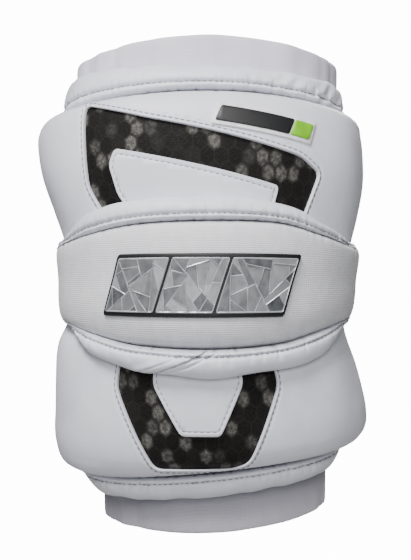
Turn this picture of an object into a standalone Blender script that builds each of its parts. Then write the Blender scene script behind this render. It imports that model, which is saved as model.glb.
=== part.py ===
"""Padded elbow guard for sport: a knitted sleeve with two thick pads and a cap over the elbow.

Lengths are in metres and angles in degrees. The arm runs up +Z through the origin, which is the
middle of the hollow at the elbow line, and the front of the guard faces -Y.

Every piece is made in the same way. It starts flat, as a block, an extruded outline or a tube in
pattern space, is scored along common lines, and is then wrapped onto the bent arm. A point of the
pattern has an angle round the arm, 0 at the front and positive towards +X, a height along the arm
from the elbow line, and an offset out from the arm hollow.
"""

import math
from typing import NamedTuple

import bmesh
import bpy
from mathutils import Vector

# Arm hollow, inside the sleeve
TOP_WIDTH = 0.1415
TOP_DEPTH = 0.078
ELBOW_WIDTH = 0.127
ELBOW_DEPTH = 0.076
BOTTOM_WIDTH = 0.1195
BOTTOM_DEPTH = 0.070
UPPER_SEAM = 0.095
TOP_COLLAR = 0.032
TOP_HEIGHT = UPPER_SEAM + TOP_COLLAR
LOWER_SEAM = 0.092
BOTTOM_COLLAR = 0.035
BOTTOM_DROP = LOWER_SEAM + BOTTOM_COLLAR
LEAN = 0.25
BEND_LENGTH = 0.060
BOTTOM_SHIFT = 0.0045
UPPER_TILT = 0.0025
UPPER_DIP = 0.0040
LOWER_TILT = 0.0065
RIM_DIP = 0.0065

# Sleeve
SLEEVE_WALL = 0.0020
SLEEVE_SIDES = 48
SLEEVE_BANDS = 12
COLLAR_FOLD_DEPTH = 0.0022
GAP = 0.0004

# Pads
PAD_REACH = 114.0
PAD_END_START = 92.0
PAD_LIP = 0.0025
PAD_MEET = 0.004
PAD_TUCK = 0.008
ELBOW_THICKNESS = 0.008
UPPER_THICKNESS = 0.022
LOWER_THICKNESS = 0.024

# Bindings, rolled along the outer end of each pad
UPPER_BINDING_WIDTH = 0.0138
UPPER_BINDING_ROLL = 0.0085
LOWER_BINDING_WIDTH = 0.0135
LOWER_BINDING_ROLL = 0.0095
UPPER_BINDING_RIGHT = 0.5
LOWER_BINDING_LEFT = 1.4
BINDING_LIP = 0.0015
BINDING_TURN = 0.80
ROLL_ROUNDNESS = 0.75

# Elbow cap
CAP_CLEARANCE = 0.0006
CAP_REACH = 108.0
CAP_END_START = 80.0
CAP_THICKNESS = 0.0155
CAP_RISE = 0.0385
CAP_DROP = 0.0407
PANEL_RISE = 0.0275
PANEL_DROP = 0.0275
CAP_ROLL = 0.0100
CAP_SEAM = 0.0080
CAP_SIDE = 0.48
CAP_LIP = 0.0016
CAP_TURN = 0.66
PANEL_ROUNDNESS = 0.6

# Windows and their inserts; a margin is the distance from a window to the seam beyond it,
# and a window runs from there to its own distance from the elbow line
ROUND = 0.088
WINDOW_DEPTH = 0.0036
MESH_THICKNESS = 0.0014
ISLAND_PROUD = 0.0002
WINDOW_CORNER = 0.0042
ISLAND_CORNER = 0.0028
UPPER_WINDOW_WIDTH = 0.152
UPPER_WINDOW_FROM_ELBOW = 0.028
UPPER_WINDOW_LEFT = -0.081
UPPER_WINDOW_MARGIN = 0.0070
UPPER_WINDOW_HEIGHT = UPPER_SEAM - UPPER_WINDOW_MARGIN - UPPER_WINDOW_FROM_ELBOW
LOWER_WINDOW_WIDTH = 0.105
LOWER_WINDOW_FROM_ELBOW = 0.0285
LOWER_WINDOW_LEFT = -0.0605
LOWER_WINDOW_MARGIN = 0.0045
LOWER_WINDOW_HEIGHT = LOWER_SEAM - LOWER_WINDOW_MARGIN - LOWER_WINDOW_FROM_ELBOW

# Emblem on the cap and tab on the upper pad
BADGE_LENGTH = 0.112
BADGE_HEIGHT = 0.0265
BADGE_SLANT = 0.012
BADGE_CORNER = 0.0020
BADGE_EDGE = 0.0018
BADGE_GROOVE = 0.0016
BADGE_THICKNESS = 0.0012
BADGE_RIGHT = -0.004
BADGE_UP = 0.000
TAB_LENGTH = 0.045
TAB_END_LENGTH = 0.013
TAB_HEIGHT = 0.0085
TAB_SLANT = 0.003
TAB_TURN = -7.0
TAB_THICKNESS = 0.0012
TAB_CORNER = 0.0010
TAB_LEFT = 0.0065
TAB_DROP = 0.0155

# Scoring
COLUMN_STEP = 7.5
ROW_STEP = 0.012
PLATE_LINES = 12
END_SHARES = (0.35, 0.65, 0.85)
SHARP_ANGLE = 40.0


class PadSection(NamedTuple):
    """Swelling of a pad at one height: 0 is as thin as at the elbow line and 1 is full."""

    height: float
    left: float
    front: float
    right: float


class CapSection(NamedTuple):
    """Heights of the cap's edges and seams at one angle, as shares of their heights in front."""

    angle: float
    top: float
    top_seam: float
    bottom_seam: float
    bottom: float


class Fold(NamedTuple):
    """A soft fold that runs down a collar of the sleeve."""

    angle: float
    depth: float
    spread: float


UPPER_SECTIONS = (
    PadSection(0.00, 0.00, 0.00, 0.00),
    PadSection(0.25, 0.28, 0.34, 0.34),
    PadSection(0.43, 0.66, 0.62, 0.54),
    PadSection(0.62, 0.96, 0.82, 0.68),
    PadSection(0.80, 1.00, 0.80, 0.60),
    PadSection(0.90, 0.93, 0.64, 0.46),
    PadSection(0.96, 0.72, 0.34, 0.30),
    PadSection(1.00, 0.14, -0.14, -0.14),
)
LOWER_SECTIONS = (
    PadSection(0.00, 0.00, 0.00, 0.00),
    PadSection(0.20, 0.16, 0.18, 0.02),
    PadSection(0.32, 0.50, 0.40, 0.14),
    PadSection(0.50, 0.72, 0.62, 0.48),
    PadSection(0.69, 0.94, 0.76, 0.74),
    PadSection(0.80, 1.04, 0.76, 0.85),
    PadSection(0.89, 1.00, 0.66, 0.84),
    PadSection(0.96, 0.84, 0.36, 0.60),
    PadSection(1.00, 0.50, -0.12, 0.22),
)
CAP_SECTIONS = (
    CapSection(-108.0, 0.46, 0.46, 0.44, 0.38),
    CapSection(-90.0, 0.58, 0.66, 0.60, 0.46),
    CapSection(-70.0, 0.66, 0.75, 0.70, 0.52),
    CapSection(-50.0, 0.90, 0.86, 0.84, 0.80),
    CapSection(-30.0, 0.98, 0.96, 0.96, 0.93),
    CapSection(0.0, 1.00, 1.00, 1.00, 1.00),
    CapSection(30.0, 0.94, 0.98, 0.94, 0.92),
    CapSection(50.0, 0.76, 0.83, 0.79, 0.83),
    CapSection(70.0, 0.58, 0.70, 0.66, 0.56),
    CapSection(90.0, 0.54, 0.64, 0.58, 0.48),
    CapSection(108.0, 0.43, 0.45, 0.42, 0.36),
)
COLLAR_FOLDS = (
    Fold(-64.0, -0.5, 7.0),
    Fold(-46.0, 0.5, 7.0),
    Fold(-28.0, -0.4, 8.0),
    Fold(20.0, -0.3, 14.0),
    Fold(52.0, 0.4, 10.0),
    Fold(76.0, -0.4, 9.0),
    Fold(150.0, -0.7, 14.0),
    Fold(-150.0, -0.7, 14.0),
)

# Shares of the pieces' own rows, from one long edge to the other
PAD_ROWS = (0.05, 0.12, 0.24, 0.38, 0.52, 0.66, 0.79, 0.88, 0.95)
PANEL_ROWS = (0.07, 0.20, 0.40, 0.60, 0.80, 0.93)
ROLL_ROWS = (0.10, 0.30, 0.55, 0.80)
BADGE_CELLS = (0.0, 0.30, 0.62, 1.0)

# Outlines in pattern space, as shares of a window's width and height from its lower left corner
UPPER_WINDOW = (
    (0.10, 0.0),
    (0.015, 0.30),
    (0.02, 1.0),
    (0.30, 0.83),
    (0.92, 0.53),
    (1.02, 0.41),
    (0.945, 0.0),
)
UPPER_ISLAND = ((0.23, 0.0), (0.155, 0.22), (0.128, 0.46), (0.16, 0.59), (0.83, 0.28), (0.80, 0.0))
LOWER_WINDOW = ((0.02, 1.0), (-0.012, 0.68), (0.21, 0.0), (0.70, 0.0), (0.80, 0.06), (1.0, 0.72), (0.96, 1.0))
LOWER_ISLAND = ((0.24, 1.0), (0.23, 0.72), (0.39, 0.31), (0.63, 0.31), (0.78, 0.74), (0.76, 1.0))


def ease(share):
    """Smooth step from 0 to 1."""
    share = min(max(share, 0.0), 1.0)
    return share * share * (3.0 - 2.0 * share)


def read_table(rows, column, place):
    """Value of a table's column at a place along its first column, on a curve that starts level."""
    places = [row[0] for row in rows]
    values = [getattr(row, column) for row in rows]
    last = len(rows) - 1
    place = min(max(place, places[0]), places[last])
    i = max(k for k in range(last) if places[k] <= place)

    def slope(k):
        before, after = k - 1, min(k + 1, last)
        return (values[after] - values[before]) / (places[after] - places[before]) if k else 0.0

    width = places[i + 1] - places[i]
    t = (place - places[i]) / width
    rise = values[i + 1] - values[i]
    bend_in, bend_out = width * slope(i) - rise, rise - width * slope(i + 1)
    return values[i] + t * rise + t * (1 - t) * ((1 - t) * bend_in + t * bend_out)


def around(angle, left, front, right):
    """Blend of a front value with a left or right one, reached at the sides and kept behind."""
    side = left if angle < 0 else right
    facing = max(math.cos(math.radians(angle)), 0.0)
    return side + (front - side) * facing * facing


def round_end(angle, start, reach):
    """Quarter-round fall from 1 to 0 between two angles, the same on both sides."""
    past = min(max((abs(angle) - start) / (reach - start), 0.0), 1.0)
    return math.sqrt(1.0 - past * past)


def arm_halves(height):
    """Half width and half depth of the arm hollow at a height."""
    if height > 0:
        share, width, depth = ease(height / TOP_HEIGHT), TOP_WIDTH, TOP_DEPTH
    else:
        share, width, depth = ease(-height / BOTTOM_DROP), BOTTOM_WIDTH, BOTTOM_DEPTH
    return (
        (ELBOW_WIDTH + (width - ELBOW_WIDTH) * share) / 2,
        (ELBOW_DEPTH + (depth - ELBOW_DEPTH) * share) / 2,
    )


def arm_point(angle, height, offset):
    """Point at an angle, a height and an offset out from the arm hollow."""
    half_width, half_depth = arm_halves(height)
    reach = math.hypot(height, BEND_LENGTH)
    lean = math.atan(LEAN * height / reach)
    shift = BOTTOM_SHIFT * ease(-height / BOTTOM_DROP)
    side, front = math.sin(math.radians(angle)), math.cos(math.radians(angle))
    length = math.hypot(half_depth * side, half_width * front)
    across = side * (half_width + offset * half_depth / length)
    forward = front * (half_depth + offset * half_width / length)
    return Vector(
        (
            shift + across,
            LEAN * (reach - BEND_LENGTH) - forward * math.cos(lean),
            height + forward * math.sin(lean),
        )
    )


def upper_seam(angle):
    """Height of the upper pad's seam, which dips at the sides."""
    return UPPER_SEAM - UPPER_DIP * math.sin(math.radians(angle)) ** 2


def lower_seam(angle):
    """Height of the lower pad's seam, which hangs lower on the left."""
    return LOWER_TILT * math.sin(math.radians(angle)) - LOWER_SEAM


def sleeve_rim(angle, top):
    """Height of a rim of the sleeve; both draw back at the sides, the bottom one less at the left."""
    side = math.sin(math.radians(angle))
    if top:
        return TOP_HEIGHT - RIM_DIP * side * side
    return LOWER_TILT * side / 2 + RIM_DIP * side * side / 2 - BOTTOM_DROP


def swelling(angle, height):
    """Thickness of the pads' common form, which the cap lies on."""
    if height > 0:
        rows, seam, thickness = UPPER_SECTIONS, upper_seam(angle), UPPER_THICKNESS
    else:
        rows, seam, thickness = LOWER_SECTIONS, lower_seam(angle), LOWER_THICKNESS
    left, front, right = (
        read_table(rows, column, height / seam) for column in ("left", "front", "right")
    )
    share = around(angle, left, front, right)
    return ELBOW_THICKNESS + (thickness - ELBOW_THICKNESS) * share


def pad_top(angle, height):
    """Offset of a pad's outer face, with its round ends behind the arm and its tuck at the elbow."""
    tuck = min((abs(height) - PAD_MEET) / PAD_TUCK, 1.0)
    end = round_end(angle, PAD_END_START, PAD_REACH) * math.sqrt(max(tuck * (2 - tuck), 0.0))
    return pad_seat() + PAD_LIP + (swelling(angle, height) - PAD_LIP) * end


def pad_seat():
    """Offset of the pads' inner faces, just clear of the sleeve."""
    return SLEEVE_WALL + GAP


def binding_seat(angle, height):
    """Offset of the bindings' inner faces, the same as the pads'."""
    return pad_seat()


def cap_seat(angle, height):
    """Offset of the cap's inner face, just clear of the pads."""
    return pad_seat() + swelling(angle, height) + ISLAND_PROUD + CAP_CLEARANCE


def columns(reach, end_start):
    """Angles of the scoring lines between two ends: the common ones, then finer ones at the ends."""
    count = int(end_start / COLUMN_STEP)
    middle = [COLUMN_STEP * k for k in range(-count, count + 1)]
    ends = [end_start + (reach - end_start) * share for share in (0.0,) + END_SHARES]
    ends = [angle for angle in ends if angle - middle[-1] > COLUMN_STEP / 4]
    return [-angle for angle in reversed(ends)] + middle + ends


def score(work, places, axis):
    """Cuts a mesh along planes across one axis, so that it can bend there."""
    for place in places:
        at, across = Vector(), Vector()
        at[axis], across[axis] = place, 1.0
        bmesh.ops.bisect_plane(
            work,
            geom=list(work.verts) + list(work.edges) + list(work.faces),
            dist=1e-7,
            plane_co=at,
            plane_no=across,
        )


def flat_block(reach, end_start, row_shares, edge_from, edge_to, thickness):
    """Scored block in pattern space between two edges, each a function of the angle."""
    work = bmesh.new()
    bmesh.ops.create_cube(work, size=1.0)
    for vert in work.verts:
        vert.co = (vert.co.x * 2 * reach, vert.co.y + 0.5, (vert.co.z + 0.5) * thickness)
    score(work, columns(reach, end_start), 0)
    score(work, row_shares, 1)
    for vert in work.verts:
        angle, share = vert.co.x, vert.co.y
        low, high = edge_from(angle), edge_to(angle)
        vert.co.x = math.radians(angle) * ROUND
        vert.co.y = low + (high - low) * share
    mesh = bpy.data.meshes.new("block")
    work.to_mesh(mesh)
    work.free()
    return mesh


def inset(points, distance):
    """Outline moved in by a distance; its points run clockwise or the other way."""
    count = len(points)
    pairs = [(points[i], points[(i + 1) % count]) for i in range(count)]
    turning = 1.0 if sum(a[0] * b[1] - b[0] * a[1] for a, b in pairs) > 0 else -1.0
    outline = []
    for i in range(count):
        here = Vector(points[i])
        into = (here - Vector(points[i - 1])).normalized()
        out = (Vector(points[(i + 1) % count]) - here).normalized()
        side_in = Vector((-into.y, into.x)) * turning
        side_out = Vector((-out.y, out.x)) * turning
        middle = side_in + side_out
        outline.append(here + middle * (distance / max(middle.dot(side_in), 0.2)))
    return outline


def rounded(points, radius, steps=4):
    """Outline with its corners rounded by arcs."""
    count = len(points)
    outline = []
    for i in range(count):
        here = Vector(points[i])
        back = Vector(points[i - 1]) - here
        ahead = Vector(points[(i + 1) % count]) - here
        room = min(radius, 0.45 * back.length, 0.45 * ahead.length)
        start, end = here + back.normalized() * room, here + ahead.normalized() * room
        for k in range(steps + 1):
            t = k / steps
            outline.append(start * (1 - t) ** 2 + here * 2 * t * (1 - t) + end * t * t)
    return outline


def placed(shares, left, base, width, height):
    """Outline in pattern space from shares of a width and a height."""
    return [(left + width * across, base + height * up) for across, up in shares]


def flat_plate(outline, thickness, low=0.0):
    """Mesh of a flat outline, extruded up from a level."""
    curve = bpy.data.curves.new("outline", "CURVE")
    curve.dimensions = "2D"
    curve.fill_mode = "BOTH"
    curve.extrude = thickness / 2
    spline = curve.splines.new("POLY")
    spline.points.add(len(outline) - 1)
    for point, (across, up) in zip(spline.points, outline):
        point.co = (across, up, 0.0, 1.0)
    spline.use_cyclic_u = True
    holder = bpy.data.objects.new("outline", curve)
    bpy.context.scene.collection.objects.link(holder)
    graph = bpy.context.evaluated_depsgraph_get()
    mesh = bpy.data.meshes.new_from_object(holder.evaluated_get(graph))
    bpy.data.objects.remove(holder)
    work = bmesh.new()
    work.from_mesh(mesh)
    bmesh.ops.remove_doubles(work, verts=work.verts, dist=1e-6)
    bmesh.ops.dissolve_limit(work, angle_limit=0.01, verts=work.verts, edges=work.edges)
    bmesh.ops.recalc_face_normals(work, faces=work.faces)
    bmesh.ops.translate(work, verts=work.verts, vec=(0.0, 0.0, low + thickness / 2))
    work.to_mesh(mesh)
    work.free()
    return mesh


def cut_recess(mesh, outline, top, depth):
    """The mesh with a recess of a depth cut down from a level."""
    body = bpy.data.objects.new("body", mesh)
    cutter = bpy.data.objects.new("recess_cutter", flat_plate(outline, 2 * depth, top - depth))
    for helper in (body, cutter):
        bpy.context.scene.collection.objects.link(helper)
    boolean = body.modifiers.new("Recess", "BOOLEAN")
    boolean.operation = "DIFFERENCE"
    boolean.solver = "EXACT"
    boolean.object = cutter
    graph = bpy.context.evaluated_depsgraph_get()
    cut = bpy.data.meshes.new_from_object(body.evaluated_get(graph))
    bpy.data.objects.remove(body)
    bpy.data.objects.remove(cutter)
    return cut


def score_plate(mesh):
    """Scores a flat plate along the pads' common lines."""
    work = bmesh.new()
    work.from_mesh(mesh)
    steps = range(-PLATE_LINES, PLATE_LINES + 1)
    score(work, [math.radians(COLUMN_STEP * k) * ROUND for k in steps], 0)
    score(work, [ROW_STEP * k for k in steps], 1)
    work.to_mesh(mesh)
    work.free()
    return mesh


def wrap(mesh, offset_at):
    """Wraps a flat mesh onto the arm; offset_at gives the offset of an angle, height and level."""
    for vert in mesh.vertices:
        angle, height, level = math.degrees(vert.co.x / ROUND), vert.co.y, vert.co.z
        vert.co = arm_point(angle, height, offset_at(angle, height, level))
    return mesh


def material(name, colour, roughness, metallic=0.0):
    """Principled material of one colour."""
    made = bpy.data.materials.new(name)
    made.use_nodes = True
    shader = made.node_tree.nodes["Principled BSDF"]
    shader.inputs["Base Color"].default_value = (*colour, 1.0)
    shader.inputs["Roughness"].default_value = roughness
    shader.inputs["Metallic"].default_value = metallic
    made.diffuse_color = (*colour, 1.0)
    return made


def add_piece(collection, name, mesh, finish):
    """Object of a finished mesh, shaded smooth between its sharp edges."""
    mesh.name = name
    mesh.materials.clear()
    mesh.materials.append(finish)
    piece = bpy.data.objects.new(name, mesh)
    collection.objects.link(piece)
    mesh.shade_smooth()
    mesh.set_sharp_from_angle(angle=math.radians(SHARP_ANGLE))
    return piece


def sleeve_fold(angle, height):
    """Push of the collar folds in or out, fading away under the pads."""
    if height > 0:
        clear = ease((height - UPPER_SEAM) / (TOP_HEIGHT - UPPER_SEAM))
    else:
        clear = ease((-height - LOWER_SEAM) / (BOTTOM_DROP - LOWER_SEAM))
    push = sum(
        fold.depth * math.exp(-(((angle - fold.angle) / fold.spread) ** 2)) for fold in COLLAR_FOLDS
    )
    return -COLLAR_FOLD_DEPTH * clear * abs(push)


def make_sleeve(collection, finish):
    """Knitted sleeve, open at both ends."""
    work = bmesh.new()
    bmesh.ops.create_cone(
        work, segments=SLEEVE_SIDES, radius1=1.0, radius2=1.0, depth=1.0, cap_ends=False
    )
    score(work, [k / SLEEVE_BANDS - 0.5 for k in range(1, SLEEVE_BANDS)], 2)
    for vert in work.verts:
        angle = math.degrees(math.atan2(vert.co.x, -vert.co.y))
        bottom, top = sleeve_rim(angle, False), sleeve_rim(angle, True)
        height = bottom + (top - bottom) * (vert.co.z + 0.5)
        vert.co = arm_point(angle, height, sleeve_fold(angle, height))
    mesh = bpy.data.meshes.new("sleeve")
    work.to_mesh(mesh)
    work.free()
    piece = add_piece(collection, "sleeve", mesh, finish)
    wall = piece.modifiers.new("Wall", "SOLIDIFY")
    wall.thickness = SLEEVE_WALL
    wall.offset = 1.0
    wall.use_even_offset = True
    return piece


def pad_offset(thickness):
    """Level-to-offset rule of a pad whose flat block has a thickness."""

    def offset_at(angle, height, level):
        if level < thickness / 2:
            return pad_seat() + level
        return pad_top(angle, height) - (thickness - level)

    return offset_at


def insert_offset(level_from_top):
    """Level-to-offset rule of an insert that starts at a level measured from the pad's face."""

    def offset_at(angle, height, level):
        return pad_top(angle, height) + level_from_top + level

    return offset_at


def make_pad(collection, name, thickness, edges, window, finish):
    """Foam pad with a recess for its window."""
    block = flat_block(PAD_REACH, PAD_END_START, PAD_ROWS, *edges, thickness)
    cut = cut_recess(block, rounded(window, WINDOW_CORNER), thickness, WINDOW_DEPTH)
    return add_piece(collection, name, wrap(cut, pad_offset(thickness)), finish)


def make_window_insert(collection, name, window, finish):
    """Mesh panel that lies on the floor of a window."""
    outline = rounded(inset(window, GAP), WINDOW_CORNER - GAP)
    plate = score_plate(flat_plate(outline, MESH_THICKNESS))
    rule = insert_offset(GAP - WINDOW_DEPTH)
    return add_piece(collection, name, wrap(plate, rule), finish)


def make_island(collection, name, island, finish):
    """Leather patch sewn onto the mesh panel."""
    thickness = WINDOW_DEPTH - MESH_THICKNESS - 2 * GAP + ISLAND_PROUD
    plate = score_plate(flat_plate(rounded(island, ISLAND_CORNER), thickness))
    rule = insert_offset(ISLAND_PROUD - thickness)
    return add_piece(collection, name, wrap(plate, rule), finish)


def make_roll(collection, name, ends, edge, seam, seat, roll, turn, finish):
    """Rolled strip from its free edge to its seam.

    ends holds the angles where it stops and where it starts to thin down, seat gives the offset it
    lies on, roll its thickness, and turn the share of a half round that it has made at the seam.
    """
    rises = edge(0.0) > seam(0.0)
    edges = (seam, edge) if rises else (edge, seam)
    rows = [1.0 - share for share in ROLL_ROWS] if rises else ROLL_ROWS
    mesh = flat_block(*ends, rows, *edges, 1.0)

    def offset_at(angle, height, level):
        share = (height - edge(angle)) / (seam(angle) - edge(angle))
        crown = math.sin(math.pi * turn * min(max(share, 0.0), 1.0)) ** ROLL_ROUNDNESS
        full = BINDING_LIP + (roll(angle) - BINDING_LIP) * crown * round_end(angle, *reversed(ends))
        return seat(angle, height) + level * full

    return add_piece(collection, name, wrap(mesh, offset_at), finish)


def cap_height(column, size):
    """Edge or seam of the cap as a function of the angle."""

    def height_at(angle):
        return size * read_table(CAP_SECTIONS, column, angle)

    return height_at


def cap_top(angle, height, low, high):
    """Thickness of the cap's panel, which is pulled in at its two seams and its round ends."""
    share = (height - low) / (high - low)
    crown = max(1.0 - (2.0 * share - 1.0) ** 2, 0.0) ** PANEL_ROUNDNESS
    slim = around(angle, CAP_SIDE, 1.0, CAP_SIDE)
    end = round_end(angle, CAP_END_START, CAP_REACH)
    full = slim * (CAP_SEAM + (CAP_THICKNESS - CAP_SEAM) * crown)
    return CAP_LIP + (full - CAP_LIP) * end


def make_cap(collection, finish):
    """Domed panel over the elbow."""
    bottom = cap_height("bottom_seam", -PANEL_DROP)
    top = cap_height("top_seam", PANEL_RISE)
    mesh = flat_block(CAP_REACH, CAP_END_START, PANEL_ROWS, bottom, top, 1.0)

    def offset_at(angle, height, level):
        dome = cap_top(angle, height, bottom(angle), top(angle))
        return cap_seat(angle, height) + level * dome

    return add_piece(collection, "elbow_cap", wrap(mesh, offset_at), finish)


def make_cap_border(collection, name, edge, seam, finish):
    """Rolled border of the cap between its free edge and a seam of its panel."""
    step = GAP if edge(0.0) > 0 else -GAP
    ends = (CAP_REACH, CAP_END_START)

    def inner(angle):
        return seam(angle) + step

    def roll(angle):
        return CAP_ROLL * around(angle, CAP_SIDE, 1.0, CAP_SIDE)

    return make_roll(collection, name, ends, edge, inner, cap_seat, roll, CAP_TURN, finish)


def slanted_bar(start, end, height, slant):
    """Corners of a bar along the pattern, with its two ends slanted alike."""
    lean = slant / 2
    return [
        Vector((start - lean, -height / 2)),
        Vector((end - lean, -height / 2)),
        Vector((end + lean, height / 2)),
        Vector((start + lean, height / 2)),
    ]


def moved(points, right, up, turn=0.0):
    """Outline turned about the pattern's origin and then moved."""
    cosine, sine = math.cos(math.radians(turn)), math.sin(math.radians(turn))
    return [(right + x * cosine - y * sine, up + x * sine + y * cosine) for x, y in points]


def make_trim(collection, name, outline, corner, thickness, surface, finish):
    """Thin plate of an outline laid just clear of a surface."""
    plate = score_plate(flat_plate(rounded(outline, corner, 2), thickness))

    def offset_at(angle, height, level):
        return surface(angle, height) + GAP + level

    return add_piece(collection, name, wrap(plate, offset_at), finish)


def cap_surface(angle, height):
    """Offset of the cap panel's outer face."""
    low = cap_height("bottom_seam", -PANEL_DROP)(angle)
    high = cap_height("top_seam", PANEL_RISE)(angle)
    return cap_seat(angle, height) + cap_top(angle, height, low, high)


def make_upper_half(collection, leather, dark_mesh):
    """Pad over the upper arm, with its window and its rolled binding."""
    base = UPPER_WINDOW_FROM_ELBOW
    frame = (UPPER_WINDOW_LEFT, base, UPPER_WINDOW_WIDTH, UPPER_WINDOW_HEIGHT)
    window, island = placed(UPPER_WINDOW, *frame), placed(UPPER_ISLAND, *frame)
    edges = (lambda angle: PAD_MEET, upper_seam)
    make_pad(collection, "upper_pad", UPPER_THICKNESS, edges, window, leather)
    make_window_insert(collection, "upper_mesh", window, dark_mesh)
    make_island(collection, "upper_island", island, leather)

    def edge(angle):
        return UPPER_SEAM + UPPER_BINDING_WIDTH - UPPER_TILT * math.sin(math.radians(angle))

    def seam(angle):
        return upper_seam(angle) + GAP

    def roll(angle):
        return UPPER_BINDING_ROLL * around(angle, 1.0, 1.0, UPPER_BINDING_RIGHT)

    ends = (PAD_REACH, PAD_END_START)
    make_roll(
        collection, "upper_binding", ends, edge, seam, binding_seat, roll, BINDING_TURN, leather
    )


def make_lower_half(collection, leather, dark_mesh):
    """Pad over the forearm, with its window and its rolled binding."""
    base = LOWER_WINDOW_MARGIN - LOWER_SEAM
    frame = (LOWER_WINDOW_LEFT, base, LOWER_WINDOW_WIDTH, LOWER_WINDOW_HEIGHT)
    window, island = placed(LOWER_WINDOW, *frame), placed(LOWER_ISLAND, *frame)
    edges = (lower_seam, lambda angle: -PAD_MEET)
    make_pad(collection, "lower_pad", LOWER_THICKNESS, edges, window, leather)
    make_window_insert(collection, "lower_mesh", window, dark_mesh)
    make_island(collection, "lower_island", island, leather)

    def edge(angle):
        return lower_seam(angle) - LOWER_BINDING_WIDTH

    def seam(angle):
        return lower_seam(angle) - GAP

    def roll(angle):
        return LOWER_BINDING_ROLL * around(angle, LOWER_BINDING_LEFT, 1.0, 1.0)

    ends = (PAD_REACH, PAD_END_START)
    make_roll(
        collection, "lower_binding", ends, edge, seam, binding_seat, roll, BINDING_TURN, leather
    )


def make_badge(collection, black, silver):
    """Slanted emblem on the cap: a dark backing with bright blocks set side by side on it."""
    start, end = -BADGE_LENGTH / 2, BADGE_LENGTH / 2
    backing = moved(slanted_bar(start, end, BADGE_HEIGHT, BADGE_SLANT), BADGE_RIGHT, BADGE_UP)
    make_trim(
        collection, "badge_backing", backing, BADGE_CORNER, BADGE_THICKNESS, cap_surface, black
    )

    def on_backing(angle, height):
        return cap_surface(angle, height) + GAP + BADGE_THICKNESS

    start, end = start + BADGE_EDGE, end - BADGE_EDGE
    for number, (low, high) in enumerate(zip(BADGE_CELLS, BADGE_CELLS[1:]), 1):
        first = start + (end - start) * low + (BADGE_GROOVE / 2 if low > 0 else 0.0)
        last = start + (end - start) * high - (BADGE_GROOVE / 2 if high < 1 else 0.0)
        share = 1 - 2 * BADGE_EDGE / BADGE_HEIGHT
        block = slanted_bar(first, last, BADGE_HEIGHT * share, BADGE_SLANT * share)
        block = moved(block, BADGE_RIGHT, BADGE_UP)
        make_trim(
            collection,
            f"badge_block_{number}",
            block,
            BADGE_CORNER / 2,
            BADGE_THICKNESS,
            on_backing,
            silver,
        )


def make_tab(collection, black, green):
    """Slanted label near the upper seam: a dark bar with a bright end block."""
    bar = slanted_bar(0.0, TAB_LENGTH, TAB_HEIGHT, TAB_SLANT)
    end_start = TAB_LENGTH + 2 * GAP
    end = slanted_bar(end_start, end_start + TAB_END_LENGTH, TAB_HEIGHT, TAB_SLANT)
    for name, outline, finish in (("label_bar", bar, black), ("label_end", end, green)):
        outline = moved(outline, TAB_LEFT, UPPER_SEAM - TAB_DROP, TAB_TURN)
        make_trim(collection, name, outline, TAB_CORNER, TAB_THICKNESS, pad_top, finish)


def main():
    """Builds the guard in a collection named for it."""
    for old in list(bpy.data.objects):
        bpy.data.objects.remove(old)
    guard = bpy.data.collections.new("elbow_pad")
    bpy.context.scene.collection.children.link(guard)

    knit = material("knit", (0.62, 0.62, 0.68), 0.85)
    leather = material("cover_leather", (0.70, 0.71, 0.75), 0.5)
    woven = material("woven_cover", (0.72, 0.73, 0.77), 0.6)
    dark_mesh = material("dark_mesh", (0.03, 0.03, 0.028), 0.6)
    black = material("black_rubber", (0.015, 0.015, 0.017), 0.45)
    silver = material("silver_foil", (0.55, 0.56, 0.58), 0.3, 0.8)
    green = material("green_rubber", (0.25, 0.55, 0.02), 0.45)

    make_sleeve(guard, knit)
    make_upper_half(guard, leather, dark_mesh)
    make_lower_half(guard, leather, dark_mesh)
    make_cap(guard, woven)
    top_edge, top_seam = cap_height("top", CAP_RISE), cap_height("top_seam", PANEL_RISE)
    make_cap_border(guard, "cap_top_border", top_edge, top_seam, leather)
    bottom_edge = cap_height("bottom", -CAP_DROP)
    bottom_seam = cap_height("bottom_seam", -PANEL_DROP)
    make_cap_border(guard, "cap_bottom_binding", bottom_edge, bottom_seam, leather)
    make_badge(guard, black, silver)
    make_tab(guard, black, green)


main()
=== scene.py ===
"""Looks of a padded elbow guard: fine upholstery, windows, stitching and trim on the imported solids.

Lengths are in metres and angles in degrees. The arm runs up +Z and the front faces -Y. Every piece
starts flat in pattern space, where a point has an angle round the arm, 0 in front and positive
towards +X, a height from the elbow line and an offset out from the arm hollow. It is then laid on
the bent arm, so each piece keeps the place of the solid that it stands for.
"""

import logging
import math
from collections.abc import Callable, Sequence
from dataclasses import dataclass
from enum import Enum
from typing import Any, NamedTuple

import bmesh
import bpy
import numpy as np
from mathutils import Matrix, Vector

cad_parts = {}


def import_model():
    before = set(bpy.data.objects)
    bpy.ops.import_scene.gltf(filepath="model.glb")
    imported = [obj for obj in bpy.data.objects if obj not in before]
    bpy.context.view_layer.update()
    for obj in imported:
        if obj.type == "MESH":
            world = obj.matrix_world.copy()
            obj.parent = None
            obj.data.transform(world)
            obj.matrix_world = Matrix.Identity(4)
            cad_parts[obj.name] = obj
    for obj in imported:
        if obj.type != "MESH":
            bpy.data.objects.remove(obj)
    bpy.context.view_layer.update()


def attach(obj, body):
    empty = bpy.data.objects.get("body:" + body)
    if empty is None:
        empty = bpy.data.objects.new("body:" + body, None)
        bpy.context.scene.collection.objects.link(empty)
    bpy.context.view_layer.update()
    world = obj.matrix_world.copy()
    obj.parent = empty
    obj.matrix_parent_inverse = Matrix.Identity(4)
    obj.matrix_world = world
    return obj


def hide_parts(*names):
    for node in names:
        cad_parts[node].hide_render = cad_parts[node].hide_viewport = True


Array = np.ndarray
Surface = Callable[[Array, Array], Array]
Edge = Callable[[Array], Array]
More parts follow.
